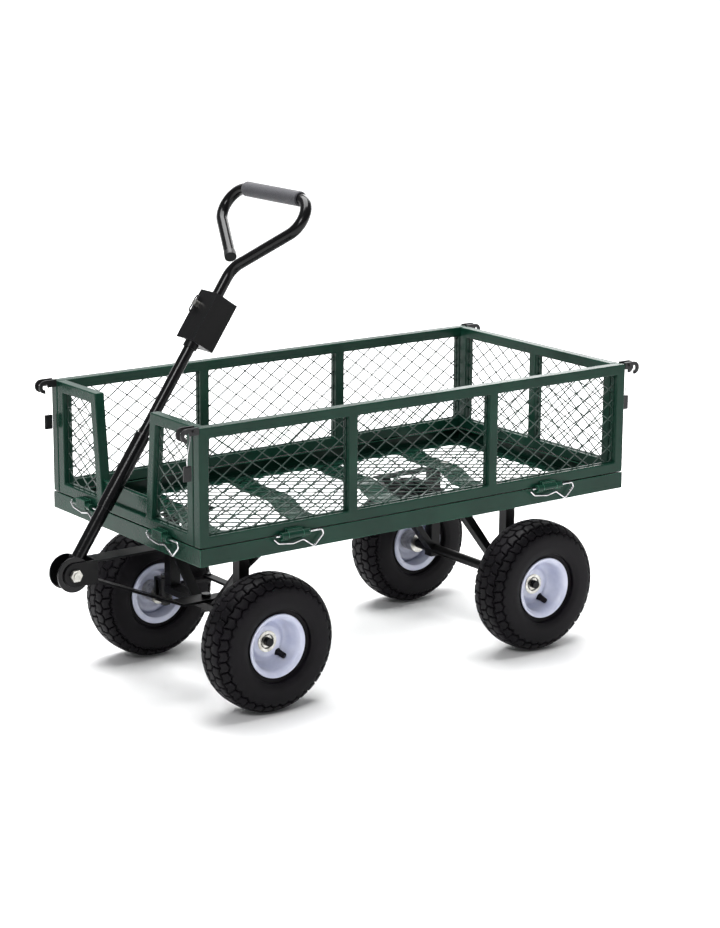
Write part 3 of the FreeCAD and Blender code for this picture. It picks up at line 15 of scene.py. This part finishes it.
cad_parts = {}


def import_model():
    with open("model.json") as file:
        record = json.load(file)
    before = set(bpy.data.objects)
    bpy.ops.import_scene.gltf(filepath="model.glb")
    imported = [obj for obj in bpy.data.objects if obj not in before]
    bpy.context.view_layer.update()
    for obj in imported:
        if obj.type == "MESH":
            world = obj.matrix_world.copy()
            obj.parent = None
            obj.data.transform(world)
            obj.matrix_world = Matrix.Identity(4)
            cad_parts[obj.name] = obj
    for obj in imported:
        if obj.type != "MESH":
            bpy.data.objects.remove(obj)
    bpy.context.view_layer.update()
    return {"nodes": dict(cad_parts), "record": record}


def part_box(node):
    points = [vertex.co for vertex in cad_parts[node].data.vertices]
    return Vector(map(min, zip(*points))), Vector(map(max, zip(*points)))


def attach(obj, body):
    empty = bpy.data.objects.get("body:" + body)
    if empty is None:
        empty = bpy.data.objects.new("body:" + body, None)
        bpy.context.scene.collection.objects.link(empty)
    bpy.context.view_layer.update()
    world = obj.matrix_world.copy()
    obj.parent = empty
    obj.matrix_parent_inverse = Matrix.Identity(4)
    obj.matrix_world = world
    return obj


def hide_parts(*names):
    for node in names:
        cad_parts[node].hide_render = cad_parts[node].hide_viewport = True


MM = 0.001


# --------------------------------------------------------------------------- colour and nodes
def linear(code):
    """An sRGB hex colour as linear red, green, blue and full alpha."""
    parts = np.array([int(code[i:i + 2], 16) / 255 for i in (1, 3, 5)])
    low, high = parts / 12.92, ((parts + 0.055) / 1.055) ** 2.4
    return (*np.where(parts <= 0.04045, low, high), 1.0)


def add(tree, kind, settings=None, **links):
    """One node with its settings, its inputs linked from sockets or set to plain values."""
    node = tree.nodes.new(kind)
    for name, value in (settings or {}).items():
        setattr(node, name, value)
    for name, value in links.items():
        socket = node.inputs[name.replace("_", " ")]
        if isinstance(value, bpy.types.NodeSocket):
            tree.links.new(value, socket)
        else:
            socket.default_value = value
    return node


def blank(name, **values):
    """A new material, its tree and its Principled shader with plain values on its own sockets."""
    made = bpy.data.materials.new(name)
    made.use_nodes = True
    tree = made.node_tree
    shader = tree.nodes["Principled BSDF"]
    for socket, value in values.items():
        shader.inputs[socket.replace("_", " ")].default_value = value
    return made, tree, shader


def place(tree):
    """The socket that gives a surface point's place in the part's frame."""
    return add(tree, "ShaderNodeTexCoord").outputs["Object"]


def ramp(tree, factor, stops):
    """A colour ramp over a factor: stops are (position, colour)."""
    node = add(tree, "ShaderNodeValToRGB", Fac=factor)
    elements = node.color_ramp.elements
    while len(elements) < len(stops):
        elements.new(0.5)
    for element, (position, colour) in zip(elements, stops):
        element.position = position
        element.color = colour
    return node.outputs["Color"]


def span(tree, factor, low, high):
    """A factor from 0 to 1 carried onto a range."""
    node = add(tree, "ShaderNodeMapRange", Value=factor)
    node.inputs["To Min"].default_value = low
    node.inputs["To Max"].default_value = high
    return node.outputs["Result"]


def noise(tree, at, size, detail=2.0, rough=0.5):
    """Soft noise whose features are about as large as size."""
    return add(tree, "ShaderNodeTexNoise", Vector=at, Scale=1 / size, Detail=detail,
               Roughness=rough).outputs["Fac"]


def raise_surface(tree, shader, height, distance):
    """Bump on a shader from a height between 0 and 1, as deep as distance."""
    bump = add(tree, "ShaderNodeBump", Height=height, Distance=distance, Strength=1.0)
    tree.links.new(bump.outputs["Normal"], shader.inputs["Normal"])


# --------------------------------------------------------------------------- finishes
EDGE_RADIUS = 1.4 * MM     # how round the paint leaves an edge
COLOUR_A, COLOUR_B, COLOUR_OUT = 6, 7, 2    # the colour sockets of a Mix node


def soft_edges(tree, radius):
    """Edges rounded in shading only, and how much: 0 on a flat, towards 1 on a bare corner."""
    rounding = add(tree, "ShaderNodeBevel", {"samples": 6}, Radius=radius).outputs["Normal"]
    flat = add(tree, "ShaderNodeNewGeometry").outputs["Normal"]
    turn = add(tree, "ShaderNodeVectorMath", {"operation": "DOT_PRODUCT"})
    tree.links.new(rounding, turn.inputs[0])
    tree.links.new(flat, turn.inputs[1])
    bare = add(tree, "ShaderNodeMath", {"operation": "SUBTRACT", "use_clamp": True})
    bare.inputs[0].default_value = 1
    tree.links.new(turn.outputs["Value"], bare.inputs[1])
    return rounding, bare.outputs["Value"]


def powder_coat(name, deep, pale, edge, gloss, peel, shine):
    """Polyester powder coat on steel tube: fused paint, so its gloss breaks up in soft orange peel.

    Peel cells are about 3.5 mm, drawn a little coarser than real so that they show.  Slow drifts of
    tone over about 120 mm stand for uneven film, the gloss changes over about 50 mm, and a painted
    highlight pales edges rounded by 1.4 mm.  deep and pale are the film's tones, edge the tone of the
    painted edge highlight, gloss its roughness, peel the depth of the cells and shine its specular
    level.
    """
    made, tree, shader = blank(name, IOR=1.5, Coat_Weight=0.06, Coat_Roughness=0.1,
                               Specular_IOR_Level=shine)
    at = place(tree)
    rounding, bare = soft_edges(tree, EDGE_RADIUS)
    drift = ramp(tree, noise(tree, at, 0.12, 3), [(0.3, linear(deep)), (0.75, linear(pale))])
    # painted highlight: edges found by the bevel get the pale edge tone mixed into their colour
    edge_highlight = ramp(tree, bare, [(0.02, (0, 0, 0, 1)), (0.22, (1, 1, 1, 1))])
    mix = add(tree, "ShaderNodeMix", {"data_type": "RGBA"})
    tree.links.new(edge_highlight, mix.inputs["Factor"])
    tree.links.new(drift, mix.inputs[COLOUR_A])
    mix.inputs[COLOUR_B].default_value = linear(edge)
    tree.links.new(mix.outputs[COLOUR_OUT], shader.inputs["Base Color"])
    tree.links.new(span(tree, noise(tree, at, 0.05, 3), gloss - 0.04, gloss + 0.06),
                   shader.inputs["Roughness"])
    bump = add(tree, "ShaderNodeBump", Height=noise(tree, at, 0.0035, 2), Distance=peel,
               Strength=1.0, Normal=rounding)
    tree.links.new(bump.outputs["Normal"], shader.inputs["Normal"])
    return made


def coated_mesh():
    """Powder coat on expanded mesh: it pools in the corners, so the thin strands look near black.

    Strands are under 3 mm wide, so tone drifts over 30 mm and grain of 1.5 mm breaks their gloss.
    """
    made, tree, shader = blank("coated_mesh", IOR=1.5, Specular_IOR_Level=0.35)
    at = place(tree)
    tree.links.new(ramp(tree, noise(tree, at, 0.03, 3), [(0.3, linear("#0b211a")),
                                                         (0.75, linear("#173a2e"))]),
                   shader.inputs["Base Color"])
    tree.links.new(span(tree, noise(tree, at, 0.01, 3), 0.3, 0.46), shader.inputs["Roughness"])
    raise_surface(tree, shader, noise(tree, at, 0.0015, 2), 0.0002)
    return made


def stove_enamel():
    """Stoved white enamel on the pressed rims: bright, smooth and slightly blue.

    The film pools a little in the bowl, so tone drifts over about 25 mm.  A light bloom of dust
    over about 6 mm dulls the gloss, and the enamel's own ripple is only 0.1 mm deep.
    """
    made, tree, shader = blank("white_enamel", IOR=1.52, Coat_Weight=0.5, Coat_Roughness=0.12)
    at = place(tree)
    drift = noise(tree, at, 0.025, 3)
    tree.links.new(ramp(tree, drift, [(0.25, linear("#b6bbd2")), (0.8, linear("#d3d6e6"))]),
                   shader.inputs["Base Color"])
    tree.links.new(span(tree, noise(tree, at, 0.006, 4), 0.24, 0.42), shader.inputs["Roughness"])
    raise_surface(tree, shader, noise(tree, at, 0.004, 2), 0.0001)
    return made


def zinc_plate():
    """Bright zinc plating on bolts, nuts and hubs: pale metal, clouded over about 8 mm."""
    made, tree, shader = blank("zinc_plate", Metallic=1.0)
    at = place(tree)
    cloud = noise(tree, at, 0.008, 5, 0.6)
    tree.links.new(ramp(tree, cloud, [(0.3, linear("#9a9891")), (0.7, linear("#d6d5cf"))]),
                   shader.inputs["Base Color"])
    tree.links.new(span(tree, cloud, 0.2, 0.42), shader.inputs["Roughness"])
    raise_surface(tree, shader, noise(tree, at, 0.0012, 3), 0.00008)
    return made


def drawn_wire():
    """Bright drawn spring wire: smooth, with a high shine and tone that drifts over about 10 mm."""
    made, tree, shader = blank("drawn_wire", Metallic=1.0)
    at = place(tree)
    tone = noise(tree, at, 0.01, 4)
    tree.links.new(ramp(tree, tone, [(0.3, linear("#b4b4b6")), (0.7, linear("#ececee"))]),
                   shader.inputs["Base Color"])
    tree.links.new(span(tree, tone, 0.14, 0.3), shader.inputs["Roughness"])
    raise_surface(tree, shader, noise(tree, at, 0.0008, 2), 0.00005)
    return made


def tyre_rubber():
    """Carbon-black tyre rubber: deep and matt, with mould bloom and dust that greys it in patches.

    Bloom drifts over about 40 mm and fine grain of about 1 mm breaks the shine of the shoulders.
    """
    made, tree, shader = blank("tyre_rubber", IOR=1.52, Specular_IOR_Level=0.12)
    at = place(tree)
    bloom = noise(tree, at, 0.04, 5, 0.6)
    tree.links.new(ramp(tree, bloom, [(0.35, linear("#08070a")), (0.75, linear("#100d12"))]),
                   shader.inputs["Base Color"])
    tree.links.new(span(tree, bloom, 0.42, 0.62), shader.inputs["Roughness"])
    raise_surface(tree, shader, noise(tree, at, 0.0011, 3), 0.0002)
    return made


def cell_foam():
    """Closed-cell foam sleeve: charcoal, matt, its skin pitted with cells of about 1.6 mm."""
    made, tree, shader = blank("cell_foam", IOR=1.46, Sheen_Weight=0.15, Sheen_Roughness=0.5)
    at = place(tree)
    cells = add(tree, "ShaderNodeTexVoronoi", Vector=at, Scale=1 / 0.0016).outputs["Distance"]
    # painted shade: the pits are coloured darker than the skin between them, following the bump's
    # depth
    tree.links.new(ramp(tree, cells, [(0.1, linear("#17171a")), (0.6, linear("#35353b"))]),
                   shader.inputs["Base Color"])
    tree.links.new(span(tree, noise(tree, at, 0.02, 3), 0.55, 0.75), shader.inputs["Roughness"])
    raise_surface(tree, shader, cells, 0.00035)
    return made


def moulded_plastic():
    """Black nylon mouldings: satin, with a fine spark-eroded grain of about 0.9 mm."""
    made, tree, shader = blank("moulded_nylon", IOR=1.53, Specular_IOR_Level=0.35)
    at = place(tree)
    tree.links.new(ramp(tree, noise(tree, at, 0.02, 3), [(0.3, linear("#0d0d0e")),
                                                         (0.7, linear("#161618"))]),
                   shader.inputs["Base Color"])
    tree.links.new(span(tree, noise(tree, at, 0.005, 4), 0.34, 0.5), shader.inputs["Roughness"])
    raise_surface(tree, shader, noise(tree, at, 0.0009, 3), 0.00015)
    return made


PAPER_GLOW_FROM = 0.9      # metres from the middle of the cart
PAPER_GLOW_FULL = 2.4
PAPER_GLOW = 0.45          # emission strength where the glow is full


def paper_floor():
    """White paper sweep that glows by itself, painted light from PAPER_GLOW_FROM to PAPER_GLOW_FULL.
    """
    made, tree, shader = blank("paper_floor", Roughness=0.9, Specular_IOR_Level=0.2)
    at = place(tree)
    tree.links.new(ramp(tree, noise(tree, at, 0.6, 2), [(0.3, linear("#f6f6f6")),
                                                        (0.7, linear("#f9f9f9"))]),
                   shader.inputs["Base Color"])
    # painted light: the paper glows more the farther it lies from the cart's middle, whitening the
    # far floor and adding fill
    away = add(tree, "ShaderNodeVectorMath", {"operation": "LENGTH"})
    tree.links.new(at, away.inputs[0])
    far = add(tree, "ShaderNodeMapRange", Value=away.outputs["Value"])
    for name, value in (("From Min", PAPER_GLOW_FROM), ("From Max", PAPER_GLOW_FULL), ("To Min", 0),
                        ("To Max", PAPER_GLOW)):
        far.inputs[name].default_value = value
    tree.links.new(far.outputs["Result"], shader.inputs["Emission Strength"])
    shader.inputs["Emission Color"].default_value = (1, 1, 1, 1)
    return made


# --------------------------------------------------------------------------- surfaces
def surface(name, points, material, body, replaced=(), smooth_angle=35):
    """A closed grid of points, joined to itself both ways, as a piece that rides on a body."""
    rows, columns = points.shape[:2]
    index = np.arange(rows * columns).reshape(rows, columns)
    below, beside = np.roll(index, -1, 0), np.roll(index, -1, 1)
    corner = np.roll(below, -1, 1)
    faces = np.stack([index, below, corner, beside], -1).reshape(-1, 4)
    mesh = bpy.data.meshes.new(name)
    mesh.from_pydata(points.reshape(-1, 3), [], faces)
    mesh.validate()
    mesh.shade_smooth()
    mesh.set_sharp_from_angle(angle=math.radians(smooth_angle))
    piece = bpy.data.objects.new(name, mesh)
    bpy.context.scene.collection.objects.link(piece)
    piece.data.materials.append(material)
    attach(piece, body)
    if replaced:
        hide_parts(*replaced)


def turned(section, turns, centre, side):
    """Points of a section, (across, radius) in metres, turned about Y through centre.

    side is -1 or 1: which way the section's across looks.  The point at angle a and section place s
    is centre + (radius cos a, side across, radius sin a), so the outward side faces the same way.
    """
    angle = np.linspace(0, 2 * np.pi, turns, endpoint=False)
    if side < 0:
        angle = angle[::-1]
    across, radius = section[:, 0], section[:, 1]
    grid = np.empty((turns, len(section), 3))
    grid[..., 0] = centre[0] + np.cos(angle)[:, None] * radius
    grid[..., 1] = centre[1] + side * across
    grid[..., 2] = centre[2] + np.sin(angle)[:, None] * radius
    return grid


def rounded(corners, radii, steps=5):
    """A closed outline of (across, radius) corners, each turned by an arc that touches its sides."""
    corners = np.array(corners, float)
    points = []
    for here, before, after, reach in zip(corners, np.roll(corners, 1, 0), np.roll(corners, -1, 0),
                                          radii):
        back, ahead = before - here, after - here
        back, ahead = back / np.linalg.norm(back), ahead / np.linalg.norm(ahead)
        share = np.linspace(0, 1, steps)[:, None]
        start, end = here + back * reach, here + ahead * reach
        points.append((1 - share) ** 2 * start + 2 * share * (1 - share) * here + share ** 2 * end)
    return np.concatenate(points)


# --------------------------------------------------------------------------- wheels
BLOCKS = 36                # tread blocks round the tyre
STEPS = 15                 # points of the tyre's surface along each block
ROW = 19 * MM              # from one row of blocks to the next, across the tread
GROOVE = 1.4 * MM          # half the width of a groove
GROOVE_DEEP = 4.2 * MM
ZIGZAG = 2.4 * MM          # how far the grooves round the tyre swing to each side
SLANT = 0.22               # slope of the grooves across a row
TREAD_HALF = 58 * MM       # finely stepped part of the crown, each way along it from the middle
TREAD_END = 55 * MM        # where the blocks have faded out, measured the same way
TREAD_FADE = 7 * MM
FINE, COARSE = 1.3 * MM, 4 * MM
FULLNESS = 2.75            # power of the superellipse that the tyre's section follows
BEAD_SEAT = 53 * MM        # radius of the tyre's base, inside the rim
RIM_LIP = 61 * MM          # radius of the rim's flanges
BEAD_TALL = 8 * MM         # how far above the lip the bead stays between the flanges
WIDEST_BELOW = 4 * MM      # how far the widest place stands below the sidewall's middle
FLANGE_HALF = 32.6 * MM    # half the width between the rim's flanges
RING_RADII = (72 * MM, 80 * MM)    # two fine moulded rings low on each sidewall
RING = 0.5 * MM            # how high a ring stands


def block_edge(along, across, pitch):
    """Distance to the nearest edge of a tread block.

    Zigzag grooves round the tyre part the rows; slanting grooves part each row into blocks, and the
    next row stands half a pitch on and slants the other way.
    """
    level = across + ZIGZAG * (4 * np.abs(np.mod(along / pitch, 1) - 0.5) - 1)
    row = np.round(level / ROW)
    beside, odd = level - row * ROW, np.mod(row, 2)
    step = along - odd * pitch / 2 + SLANT * beside * (1 - 2 * odd)
    step = step - np.round(step / pitch) * pitch
    return np.minimum(ROW / 2 - np.abs(beside), pitch / 2 - np.abs(step))


def tyre_section(half_wide, radius, seat, lip, flange):
    """The tyre's section without tread: bead, bulged sidewall and a flat crown.

    A superellipse, |across / half_wide| ^ FULLNESS + |out / tall| ^ FULLNESS = 1, runs from bead to
    bead outside, and its base inside the rim closes it.  Points stand FINE apart over the tread and
    COARSE apart elsewhere.  Returns (across, radius) and, for each point, the distance along the
    crown from the middle.
    """
    turn = np.linspace(-0.5, 1.5, 1201) * np.pi
    middle = (radius + lip) / 2 - WIDEST_BELOW
    power = 2 / FULLNESS
    across = half_wide * np.sign(np.cos(turn)) * np.abs(np.cos(turn)) ** power
    tall = np.where(np.sin(turn) > 0, radius - middle, middle - seat)
    out = middle + tall * np.sign(np.sin(turn)) * np.abs(np.sin(turn)) ** power
    low = out < lip + BEAD_TALL
    across = np.where(low, np.clip(across, -flange, flange), across)
    run = np.concatenate([[0], np.cumsum(np.hypot(np.diff(across), np.diff(out)))])
    run -= run[len(run) // 2]
    places = np.concatenate([np.arange(run[0], -TREAD_HALF, COARSE),
                             np.arange(-TREAD_HALF, TREAD_HALF, FINE),
                             np.arange(TREAD_HALF, run[-1] - COARSE / 2, COARSE)])
    section = np.stack([np.interp(places, run, across), np.interp(places, run, out)], 1)
    return section, places


def tyre(where, side_name, material):
    """A tyre with zigzag rows of tread blocks that wrap over its shoulders.

    Each point is section - normal * (GROOVE_DEEP * groove * fade + RING * (1 - rings)), so it sinks
    between blocks, the grooves fade out down the sidewalls, and two fine moulded rings stay proud.
    """
    node = f"{where}_{side_name}_tyre"
    low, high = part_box(node)
    centre, radius = (low + high) / 2, (high[2] - low[2]) / 2
    half_wide = (high[1] - low[1]) / 2
    section, run = tyre_section(half_wide, radius, BEAD_SEAT, RIM_LIP, FLANGE_HALF)
    tangent = np.roll(section, -1, 0) - np.roll(section, 1, 0)
    normal = np.stack([tangent[:, 1], -tangent[:, 0]], 1)
    normal /= np.linalg.norm(normal, axis=1)[:, None]
    turns = BLOCKS * STEPS
    angle = np.linspace(0, 2 * np.pi, turns, endpoint=False)
    edge = block_edge(angle[:, None] * radius, run[None, :], 2 * np.pi * radius / BLOCKS)
    groove = 1 - np.clip((edge - 0.4 * GROOVE) / GROOVE, 0, 1)
    fade = np.clip((TREAD_END - np.abs(run)) / TREAD_FADE, 0, 1)
    rings = sum(np.exp(-((section[:, 1] - at) / (2 * MM)) ** 2) for at in RING_RADII)
    sink = groove * fade[None, :] * GROOVE_DEEP - (rings * RING)[None, :] + RING
    profile = section[None, :, :] - normal[None, :, :] * sink[..., None]
    side = math.copysign(1, centre[1])
    turn = angle[::-1] if side < 0 else angle
    grid = np.empty((turns, len(section), 3))
    grid[..., 0] = centre[0] + np.cos(turn)[:, None] * profile[..., 1]
    grid[..., 1] = centre[1] + side * profile[..., 0]
    grid[..., 2] = centre[2] + np.sin(turn)[:, None] * profile[..., 1]
    surface(f"{node}_tread", grid, material, f"{where}_{side_name}_wheel", [node])


RIM_WELL = 51              # radius of the rim's well, in mm
RIM_BORE = 20.1            # radius that fits over the hub, in mm


def rim(where, side_name, material):
    """A pressed rim: rolled flanges, a deep bowl outboard and a raised seat round the hub.

    Its corners are (across, radius) in mm from the rim's middle plane, outboard positive.  They run
    from the outboard flange along the well to the inboard flange, then under the well and down the
    disc's inboard face to the bore, and back up its outboard face.
    """
    node = f"{where}_{side_name}_rim"
    low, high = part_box(node)
    centre = (low + high) / 2
    half, lip = (high[1] - low[1]) / 2 / MM, (high[2] - low[2]) / 2 / MM
    corners = [(half, lip - 1), (half - 2.5, lip), (half - 3, RIM_WELL), (3 - half, RIM_WELL),
               (2.5 - half, lip), (-half, lip - 1), (1 - half, 48.2), (-1, 48), (-9, 43), (-8, 34),
               (-4, 29), (-3, RIM_BORE), (0, RIM_BORE), (1, 30), (-4, 36), (-5, 41), (5, 47),
               (half - 7, 49), (half - 1, 55)]
    radii = [1, 1, 3, 3, 1, 1, 3, 2.5, 3, 3, 2.5, 0.2, 0.2, 3.5, 4, 4, 4.5, 5, 3]
    section = rounded(corners, radii) * MM
    grid = turned(section, 144, centre, math.copysign(1, centre[1]))
    surface(f"{node}_pressed", grid, material, f"{where}_{side_name}_wheel", [node],
            smooth_angle=50)


VALVE_OUT = 33 * MM        # from the axle to a valve's foot
VALVE_SINK = 4 * MM        # how far the foot stands inboard of the rim's middle plane
VALVE_LEAN = 0.45          # slope of the stem away from the axle


def valve(where, side_name, angle, rubber):
    """A rubber snap-in valve with its cap, leaning outwards from the rim's bowl."""
    low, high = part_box(f"{where}_{side_name}_rim")
    centre = (low + high) / 2
    side = math.copysign(1, centre[1])
    stem = rounded([(0, 0.02), (0, 7.6), (2.5, 7.6), (5, 6.0), (21, 5.2), (21, 0.02)],
                   [0.01, 1.2, 1.2, 1.5, 2.2, 0.01]) * MM
    away = Vector((math.cos(angle), 0, math.sin(angle)))
    foot = away * VALVE_OUT + Vector((0, side * -VALVE_SINK, 0))
    lean = (away * VALVE_LEAN + Vector((0, side, 0))).normalized()
    turn = Vector((0, side, 0)).rotation_difference(lean).to_matrix()
    grid = turned(stem, 24, (0, 0, 0), side) @ np.array(turn).T + np.array(centre + foot)
    surface(f"{where}_{side_name}_valve", grid, rubber, f"{where}_{side_name}_wheel")


# Each valve's angle round its axle, in radians from the cart's rear towards up.
VALVES = {("front", "left"): -0.80, ("rear", "left"): -1.04, ("front", "right"): 2.3,
          ("rear", "right"): 0.9}


# --------------------------------------------------------------------------- pull wires
# Each route is repeated from the part's source: out from the bed's end, along Y, down, in mm.
LANYARDS = {
    "front_left": [(11, 0, 0), (12.5, -0.5, 11), (16, -1.5, 24), (18.5, -1, 38), (19, 0.5, 50),
                   (18, 1.5, 60)],
    "front_right": [(11, 0, 0), (12, 0.6, 12), (15, 1.8, 25), (16, 3, 38), (14.5, 3.2, 50),
                    (12.5, 2.4, 60)],
    "rear_left": [(11, 0, 0), (12.8, 0.5, 11), (15.5, 1.6, 24), (15.8, 2.8, 38), (14, 3, 50),
                  (12, 2, 60)],
    "rear_right": [(11, 0, 0), (12.2, -0.4, 12), (14.5, -1.6, 24), (17, -1.8, 37), (18, -0.8, 49),
                   (17.6, 0.6, 60)],
}
BED_HALF_LONG = 497.5      # half the length of the bed, in mm
BED_SHIFT = 58             # from the frame's origin to the bed's middle, in mm
POST_MIDDLE = 247.5        # from the cart's middle to a corner post's middle, in mm
WIRE_TOP = 555.75          # height of the corner bolts, in mm
WIRE = 0.9 * MM            # radius of the wire


def lanyard(label, route, material):
    """A pull wire as one smooth curve from its corner bolt down to its tab."""
    end = -1 if label.startswith("front") else 1
    side = -1 if label.endswith("left") else 1
    points = [Vector((BED_SHIFT + end * (BED_HALF_LONG + out), side * POST_MIDDLE + along,
                      WIRE_TOP - down)) * MM for out, along, down in route]
    curve = bpy.data.curves.new(f"lanyard_{label}_wire", "CURVE")
    curve.dimensions = "3D"
    curve.bevel_depth = WIRE
    curve.bevel_resolution = 3
    curve.use_fill_caps = True
    spline = curve.splines.new("NURBS")
    spline.points.add(len(points) - 1)
    for spot, point in zip(spline.points, points):
        spot.co = (*point, 1)
    spline.order_u = 3
    spline.use_endpoint_u = True
    piece = bpy.data.objects.new(curve.name, curve)
    bpy.context.scene.collection.objects.link(piece)
    piece.data.materials.append(material)
    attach(piece, f"side_panel_{label.split('_')[1]}")
    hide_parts(f"lanyard_{label}")


# --------------------------------------------------------------------------- floor, light, camera
PAPER_HALF = 9             # half the paper's width, and how high it goes, in metres
PAPER_FLAT = 6             # how far behind the cart it starts to curl
PAPER_CURL = 3             # radius of the curl
PAPER_COLUMNS = 5


def floor(material):
    """The paper sweep: flat under the cart and curling up far behind it.

    The curl's point at angle a is PAPER_FLAT + PAPER_CURL sin a behind the cart and
    PAPER_CURL (1 - cos a) up.
    """
    across = np.linspace(-PAPER_HALF, PAPER_HALF, PAPER_COLUMNS)
    angle = np.linspace(0, np.pi / 2, 13)
    ahead = np.concatenate([[-PAPER_HALF, -3, 0, 3], PAPER_FLAT + PAPER_CURL * np.sin(angle),
                            [PAPER_FLAT + PAPER_CURL]])
    up = np.concatenate([[0, 0, 0, 0], PAPER_CURL - PAPER_CURL * np.cos(angle), [PAPER_HALF]])
    shape = len(ahead), PAPER_COLUMNS
    grid = np.stack([np.broadcast_to(across[None], shape), np.broadcast_to(ahead[:, None], shape),
                     np.broadcast_to(up[:, None], shape)], -1)
    index = np.arange(grid.shape[0] * PAPER_COLUMNS).reshape(shape)
    faces = np.stack([index[:-1, :-1], index[:-1, 1:], index[1:, 1:], index[1:, :-1]], -1)
    mesh = bpy.data.meshes.new("paper")
    mesh.from_pydata(grid.reshape(-1, 3), [], faces.reshape(-1, 4))
    mesh.shade_smooth()
    piece = bpy.data.objects.new("paper", mesh)
    piece.matrix_world = Matrix.Rotation(CAMERA_TURN, 4, "Z")
    bpy.context.scene.collection.objects.link(piece)
    piece.data.materials.append(material)


def soft_box(name, place_at, aim, wide, tall, power):
    """A rectangular area light that looks at a point."""
    lamp = bpy.data.lights.new(name, "AREA")
    lamp.shape = "RECTANGLE"
    lamp.size, lamp.size_y, lamp.energy = wide, tall, power
    piece = bpy.data.objects.new(name, lamp)
    piece.location = place_at
    piece.rotation_euler = (Vector(aim) - Vector(place_at)).to_track_quat("-Z", "Y").to_euler()
    bpy.context.scene.collection.objects.link(piece)


def sky(brightness):
    """Even white light from all round."""
    world = bpy.data.worlds.new("studio")
    world.use_nodes = True
    background = world.node_tree.nodes["Background"]
    background.inputs["Color"].default_value = linear("#fbfcff")
    background.inputs["Strength"].default_value = brightness
    bpy.context.scene.world = world


# Name, place, the point it looks at, width, height and power of each light.
LIGHTS = [("key", (-3.4, -2.4, 3.6), (0, 0, 0.3), 1.6, 1.2, 95),
          ("top", (0.3, 0.6, 4.0), (0, 0, 0.2), 3.4, 3.0, 330),
          ("edge", (3.4, 2.6, 2.6), (0, 0, 0.4), 2.0, 2.0, 70)]
SKY = 0.3                              # strength of the even light

CAMERA_TURN = math.radians(-36.587)    # towards the front from square on to the left side
CAMERA_RISE = math.radians(13.749)     # above level
CAMERA_ROLL = math.radians(0.377)      # about its own line of sight
CAMERA_RUN = 4.7652                    # metres from the point it looks at
CAMERA_TARGET = Vector((0.09848, 0, 0.37254))
CAMERA_LENS = 94.46                    # focal length in mm
SENSOR = 36                            # sensor width in mm


def camera():
    """The camera: a long lens from the front left, a little above the bed."""
    data = bpy.data.cameras.new("camera")
    data.sensor_width = SENSOR
    data.lens = CAMERA_LENS
    data.clip_end = 100
    back = Vector((math.cos(CAMERA_RISE) * math.sin(CAMERA_TURN),
                   -math.cos(CAMERA_RISE) * math.cos(CAMERA_TURN), math.sin(CAMERA_RISE)))
    right = (-back).cross(Vector((0, 0, 1))).normalized()
    up = right.cross(-back)
    tilt_right = right * math.cos(CAMERA_ROLL) + up * math.sin(CAMERA_ROLL)
    tilt_up = up * math.cos(CAMERA_ROLL) - right * math.sin(CAMERA_ROLL)
    piece = bpy.data.objects.new("camera", data)
    turn = Matrix((tilt_right, tilt_up, back)).transposed().to_4x4()
    piece.matrix_world = Matrix.Translation(CAMERA_TARGET + back * CAMERA_RUN) @ turn
    bpy.context.scene.collection.objects.link(piece)
    bpy.context.scene.camera = piece


# --------------------------------------------------------------------------- the whole cart
BLACKENED = ("steering_pins", "tie_bar_pins", "coupling_clip")    # metal that was painted over
MESHES = ("bed_floor_mesh", "side_mesh_left", "side_mesh_right", "front_mesh", "rear_mesh")


def main():
    """Load the frame, dress every part, add the pieces, then the stage."""
    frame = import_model()
    camera()
    finishes = {
        # the third tone of each powder coat is its painted edge highlight
        "green_paint": powder_coat("green_powder_coat", "#0c2b21", "#13392c", "#3f7d64", 0.24, 0.0002,
                                   0.15),
        "black_paint": powder_coat("black_powder_coat", "#070708", "#0c0c0d", "#232327", 0.36,
                                   0.00015, 0.14),
        "gloss_black": powder_coat("gloss_black_enamel", "#060607", "#0a0a0b", "#2a2a30", 0.18,
                                   0.00012, 0.2),
        "white_paint": stove_enamel(),
        "bright_steel": zinc_plate(),
        "steel_wire": drawn_wire(),
        "tyre_rubber": tyre_rubber(),
        "foam": cell_foam(),
        "black_plastic": moulded_plastic(),
    }
    coated = coated_mesh()
    for part in frame["record"]["subparts"]:
        node = frame["nodes"][part["node"]]
        node.data.materials.clear()
        finish = finishes[part["material_slot"]]
        if part["node"] in MESHES:
            finish = coated
        if part["node"] in BLACKENED:
            finish = finishes["gloss_black"]
        node.data.materials.append(finish)
    for label, route in LANYARDS.items():
        lanyard(label, route, finishes["steel_wire"])
    for (where, side), angle in VALVES.items():
        tyre(where, side, finishes["tyre_rubber"])
        rim(where, side, finishes["white_paint"])
        valve(where, side, angle, finishes["tyre_rubber"])
    floor(paper_floor())
    bpy.context.scene.view_settings.view_transform = "Standard"
    sky(SKY)
    for light in LIGHTS:
        soft_box(*light)


main()
